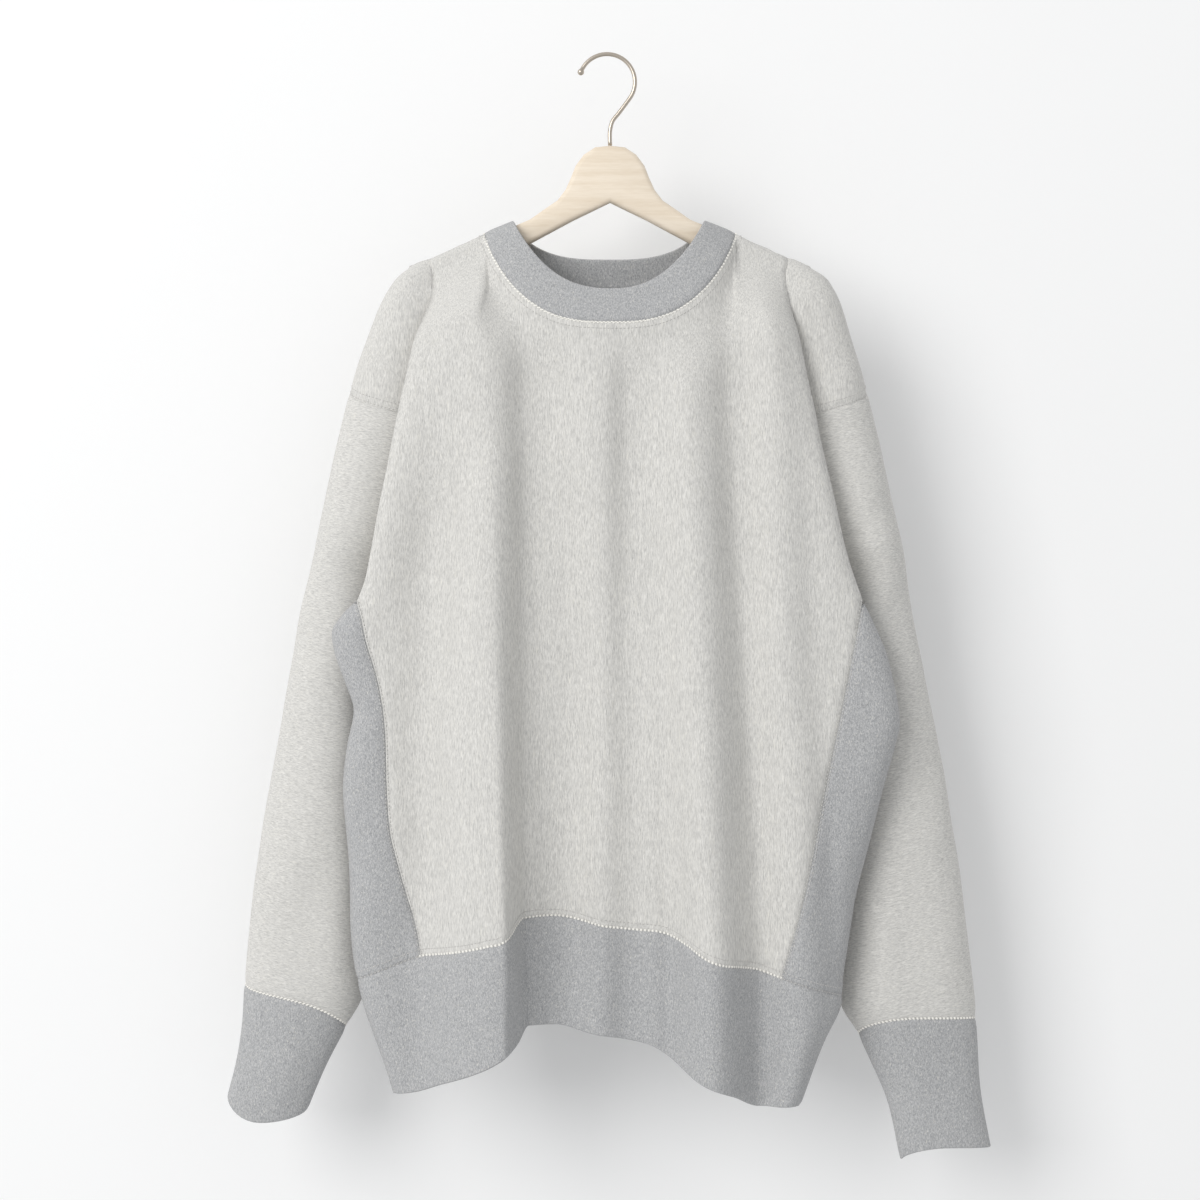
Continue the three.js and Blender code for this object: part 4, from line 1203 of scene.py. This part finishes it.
class SWEATSHIRT_OT_ribs(bpy.types.Operator):
    """Neckband, side panels, hem band and cuffs in the darker rib"""

    bl_idname = "sweatshirt.ribs"
    bl_label = "Rib pieces"

    def execute(self, context):
        settings = context.scene.sweatshirt_cloth
        colours = (settings.rib_light, settings.rib_dark, settings.cream)
        rib = rib_knit("heather rib", colours)
        names = ["neckband", "hem_band"]
        names += [f"{piece}_{side}" for piece in ("side_panel", "cuff") for side in SIDES]
        add_cloth(names, [rib] * len(names), settings)
        return {"FINISHED"}


def seam_lines(first, second):
    """Ordered runs of points along the seam between two pieces."""
    shared = {i for i, names in enumerate(first.owners) if second.name in names}
    after = {}
    for a, b in first.borders():
        if a in shared and b in shared:
            after[a] = b
    starts = [a for a in after if a not in after.values()] or list(after)[:1]
    runs = []
    for start in starts:
        run = [start]
        while run[-1] in after and after[run[-1]] != start:
            run.append(after[run[-1]])
            if len(run) > len(after) + 1:
                break
        if run[-1] in after and after[run[-1]] == start:
            run.append(start)
        if len(run) > 2:
            runs.append(run)
    return runs


# Lines of thread: the piece they lie on, its neighbour, and their distances from the seam
CREAM_LINES = [
    ("front", "neckband", (0.3, 1.1)),
    ("back", "neckband", (0.3, 1.1)),
    ("front", "hem_band", (0.3, 1.1)),
    ("back", "hem_band", (0.3, 1.1)),
    ("sleeve_left", "cuff_left", (0.3, 1.1)),
    ("sleeve_right", "cuff_right", (0.3, 1.1)),
]
GREY_LINES = [
    ("front", "neckband", (5.4,)),
    ("back", "neckband", (5.4,)),
    ("front", "hem_band", (5.6,)),
    ("back", "hem_band", (5.6,)),
    ("side_panel_left", "hem_band", (0.6, 5.6)),
    ("side_panel_right", "hem_band", (0.6, 5.6)),
    ("front", "sleeve_left", (1.4, 6.2)),
    ("back", "sleeve_left", (1.4, 6.2)),
    ("front", "sleeve_right", (1.4, 6.2)),
    ("back", "sleeve_right", (1.4, 6.2)),
    ("front", "side_panel_left", (1.4,)),
    ("side_panel_left", "front", (1.4,)),
    ("front", "side_panel_right", (1.4,)),
    ("side_panel_right", "front", (1.4,)),
    ("back", "side_panel_left", (1.4,)),
    ("side_panel_left", "back", (1.4,)),
    ("back", "side_panel_right", (1.4,)),
    ("side_panel_right", "back", (1.4,)),
]


def stitch_paths(made, lines):
    """One mesh of open lines just above the cloth, with the way out stored at each point."""
    points, edges, outward = [], [], []
    trees = {}
    for name, neighbour, distances in lines:
        sheet = made["by_name"][name]
        if name not in trees:
            trees[name] = BVHTree.FromPolygons(sheet.points, sheet.faces)
        for run in seam_lines(sheet, made["by_name"][neighbour]):
            for distance in distances:
                start = len(points)
                for k, i in enumerate(run):
                    before = sheet.points[run[max(0, k - 1)]]
                    beyond = sheet.points[run[min(len(run) - 1, k + 1)]]
                    normal = made["normals"][sheet.keys[i]]
                    into = normal.cross((beyond - before).normalized())
                    spot = sheet.points[i] + into * distance
                    near, face_normal, _, _ = trees[name].find_nearest(spot)
                    points.append((near + face_normal * (sheet.wall / 2 + 0.1)) * MM)
                    outward.append(face_normal)
                edges += [(n, n + 1) for n in range(start, len(points) - 1)]
    mesh = bpy.data.meshes.new("stitch paths")
    mesh.from_pydata(points, edges, [])
    attribute = mesh.attributes.new("outward", "FLOAT_VECTOR", "POINT")
    attribute.data.foreach_set("vector", [value for vector in outward for value in vector])
    return mesh


def stitch_tree(material):
    """Geometry Nodes: one small thread at each pitch along the lines, lying flat on the cloth."""
    tree = bpy.data.node_groups.new("Stitches", "GeometryNodeTree")
    face = tree.interface
    face.new_socket("Geometry", in_out="INPUT", socket_type="NodeSocketGeometry")
    sizes = {}
    for name in ("Pitch", "Length", "Thickness"):
        sizes[name] = face.new_socket(name, in_out="INPUT", socket_type="NodeSocketFloat").identifier
    face.new_socket("Geometry", in_out="OUTPUT", socket_type="NodeSocketGeometry")

    def add(kind, settings=None, **values):
        node = tree.nodes.new(kind)
        for key, value in (settings or {}).items():
            setattr(node, key, value)
        for key, value in values.items():
            socket = next(s for s in node.inputs if s.name.replace(" ", "_") == key and s.enabled)
            if isinstance(value, bpy.types.NodeSocket):
                tree.links.new(value, socket)
            else:
                socket.default_value = value
        return node

    inputs = add("NodeGroupInput")
    given = {socket.name: socket for socket in inputs.outputs}
    curve = add("GeometryNodeMeshToCurve", Mesh=given["Geometry"])
    evenly = add("GeometryNodeResampleCurve", {"mode": "LENGTH"}, Curve=curve.outputs[0],
                 Length=given["Pitch"])
    tangent = add("GeometryNodeInputTangent")
    outward = add("GeometryNodeInputNamedAttribute", {"data_type": "FLOAT_VECTOR"}, Name="outward")
    turn = add("FunctionNodeAlignRotationToVector", {"axis": "X"}, Vector=tangent.outputs[0])
    roll = add("FunctionNodeAlignRotationToVector", {"axis": "Z", "pivot_axis": "X"},
               Rotation=turn.outputs[0], Vector=outward.outputs[0])
    half = add("ShaderNodeVectorMath", {"operation": "SCALE"}, Scale=0.5)
    size = add("ShaderNodeCombineXYZ", X=given["Length"], Y=given["Thickness"], Z=given["Thickness"])
    tree.links.new(size.outputs[0], half.inputs[0])
    bead = add("GeometryNodeMeshIcoSphere", Radius=1.0, Subdivisions=1)
    smooth = add("GeometryNodeSetShadeSmooth", Geometry=bead.outputs[0])
    threads = add("GeometryNodeInstanceOnPoints", Points=evenly.outputs[0],
                  Instance=smooth.outputs[0], Rotation=roll.outputs[0], Scale=half.outputs[0])
    real = add("GeometryNodeRealizeInstances", Geometry=threads.outputs[0])
    painted = add("GeometryNodeSetMaterial", Geometry=real.outputs[0], Material=material)
    result = add("NodeGroupOutput")
    tree.links.new(painted.outputs[0], result.inputs[0])
    return tree, sizes


class SWEATSHIRT_OT_stitching(bpy.types.Operator):
    """Cream lines along the neck, hem and cuff seams, and grey ones along the other seams"""

    bl_idname = "sweatshirt.stitching"
    bl_label = "Stitching"

    def execute(self, context):
        settings = context.scene.sweatshirt_stitches
        made = cloth(context.scene.sweatshirt_cloth)
        threads = {
            "cream_stitching": (CREAM_LINES, settings.cream, settings.thickness),
            "grey_stitching": (GREY_LINES, settings.grey, settings.thickness * settings.fine),
        }
        for name, (lines, colour, thickness) in threads.items():
            paths = bpy.data.objects.new(name, stitch_paths(made, lines))
            context.scene.collection.objects.link(paths)
            material = thread_material(colour)
            tree, sizes = stitch_tree(material)
            modifier = paths.modifiers.new("Stitches", "NODES")
            modifier.node_group = tree
            modifier[sizes["Pitch"]] = settings.pitch
            modifier[sizes["Length"]] = settings.length
            modifier[sizes["Thickness"]] = thickness
            graph = context.evaluated_depsgraph_get()
            mesh = bpy.data.meshes.new_from_object(paths.evaluated_get(graph))
            bpy.data.objects.remove(paths)
            mesh.name = name
            add_piece(mesh, material, [])
        return {"FINISHED"}


def smooth_copy(node, material, angle):
    """A merged copy of a CAD node with smooth shading, which stands for it."""
    work = bmesh.new()
    work.from_mesh(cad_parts[node].data)
    bmesh.ops.remove_doubles(work, verts=work.verts, dist=1e-6)
    mesh = bpy.data.meshes.new(node + "_finish")
    work.to_mesh(mesh)
    work.free()
    mesh.polygons.foreach_set("use_smooth", [True] * len(mesh.polygons))
    mesh.set_sharp_from_angle(angle=angle)
    return add_piece(mesh, material, [node])


class SWEATSHIRT_OT_hanger(bpy.types.Operator):
    """Bare beech hanger with its satin wire hook"""

    bl_idname = "sweatshirt.hanger"
    bl_label = "Hanger"

    def execute(self, context):
        settings = context.scene.sweatshirt_hanger
        smooth_copy("hanger_body", beech_material(settings.wood), math.radians(28))
        smooth_copy("hanger_hook", hook_material(settings.wire), math.radians(50))
        return {"FINISHED"}


def wall_material(colour):
    """Painted wall that can be seen through from behind, lifted a little as a bright room lifts it."""
    shader = Shader("painted wall")
    patches = shader.noise(shader.place((0, 0, 0), (2.2, 2.2, 2.2)), 3.0, 0.5)
    paint = shader.out("ShaderNodeBsdfPrincipled", {}, {
        "Base Color": shader.mix((patches - 0.35).clamped() * 0.12, rgba(colour),
                                 rgba(tuple(value * 0.9 for value in colour))),
        "Roughness": 0.9,
        "Specular IOR Level": 0.1,
        "Emission Color": (1.0, 1.0, 1.0, 1),
        "Emission Strength": 0.13,
    })
    clear = shader.out("ShaderNodeBsdfTransparent", {}, {})
    behind = shader.out("ShaderNodeNewGeometry", {}, {}, "Backfacing")
    seen = shader.out("ShaderNodeMixShader", {}, {0: behind, 1: paint, 2: clear})
    shader.node("ShaderNodeOutputMaterial", {}, {"Surface": seen})
    return shader.material


class SWEATSHIRT_OT_stage(bpy.types.Operator):
    """Pale wall, soft light from the left and the camera"""

    bl_idname = "sweatshirt.stage"
    bl_label = "Wall, light and camera"

    def execute(self, context):
        settings = context.scene.sweatshirt_stage
        scene = context.scene
        y = settings.wall_distance
        mesh = bpy.data.meshes.new("wall")
        corners = [(-4, y, -4), (4, y, -4), (4, y, 4), (-4, y, 4)]
        mesh.from_pydata(corners, [], [(0, 1, 2, 3)])
        mesh.materials.append(wall_material(settings.wall_colour))
        wall = bpy.data.objects.new("wall", mesh)
        scene.collection.objects.link(wall)

        world = bpy.data.worlds.new("room")
        world.use_nodes = True
        background = world.node_tree.nodes["Background"]
        background.inputs["Color"].default_value = (0.98, 0.99, 1.0, 1)
        background.inputs["Strength"].default_value = settings.ambient
        scene.world = world

        window = bpy.data.lights.new("window", "AREA")
        window.shape = "RECTANGLE"
        window.size, window.size_y = 2.4, 2.8
        window.energy = settings.window
        window.color = (1.0, 0.995, 0.985)
        lamp = bpy.data.objects.new("window", window)
        lamp.location = (-2.5, -3.4, 1.0)
        aim = Vector((0, 0, -0.45)) - lamp.location
        lamp.rotation_euler = aim.to_track_quat("-Z", "Y").to_euler()
        scene.collection.objects.link(lamp)

        camera = bpy.data.cameras.new("camera")
        camera.lens = settings.lens
        camera.sensor_width = 36
        camera.clip_start, camera.clip_end = 0.05, 50
        viewer = bpy.data.objects.new("camera", camera)
        viewer.location = (-0.0056, -2.0, -0.43504)
        viewer.rotation_euler = (math.pi / 2, 0, 0)
        scene.collection.objects.link(viewer)
        scene.camera = viewer
        scene.view_settings.view_transform = "Standard"
        scene.view_settings.look = "None"
        scene.view_settings.exposure = 0
        scene.view_settings.gamma = 1
        return {"FINISHED"}


class SWEATSHIRT_PT_panel(bpy.types.Panel):
    """Lists the pieces and their settings"""

    bl_idname = "SWEATSHIRT_PT_panel"
    bl_label = "Sweatshirt"
    bl_space_type = "VIEW_3D"
    bl_region_type = "UI"
    bl_category = "Sweatshirt"

    def draw(self, context):
        layout = self.layout
        for name in GROUPS:
            settings = getattr(context.scene, name)
            box = layout.box()
            for key in settings.bl_rna.properties.keys():
                if key not in ("rna_type", "name"):
                    box.prop(settings, key)
        for operator in OPERATORS:
            layout.operator(operator.bl_idname)


GROUPS = {
    "sweatshirt_cloth": ClothSettings,
    "sweatshirt_stitches": StitchSettings,
    "sweatshirt_hanger": HangerSettings,
    "sweatshirt_stage": StageSettings,
}
OPERATORS = (
    SWEATSHIRT_OT_body,
    SWEATSHIRT_OT_sleeves,
    SWEATSHIRT_OT_ribs,
    SWEATSHIRT_OT_stitching,
    SWEATSHIRT_OT_hanger,
    SWEATSHIRT_OT_stage,
)


def register():
    for group in GROUPS.values():
        bpy.utils.register_class(group)
    for name, group in GROUPS.items():
        setattr(bpy.types.Scene, name, PointerProperty(type=group))
    for operator in OPERATORS:
        bpy.utils.register_class(operator)
    bpy.utils.register_class(SWEATSHIRT_PT_panel)


def unregister():
    bpy.utils.unregister_class(SWEATSHIRT_PT_panel)
    for operator in reversed(OPERATORS):
        bpy.utils.unregister_class(operator)
    for name in GROUPS:
        delattr(bpy.types.Scene, name)
    for group in reversed(list(GROUPS.values())):
        bpy.utils.unregister_class(group)


def main():
    register()
    bpy.ops.sweatshirt.body()
    bpy.ops.sweatshirt.sleeves()
    bpy.ops.sweatshirt.ribs()
    bpy.ops.sweatshirt.stitching()
    bpy.ops.sweatshirt.hanger()
    bpy.ops.sweatshirt.stage()


if __name__ == "__main__":
    main()
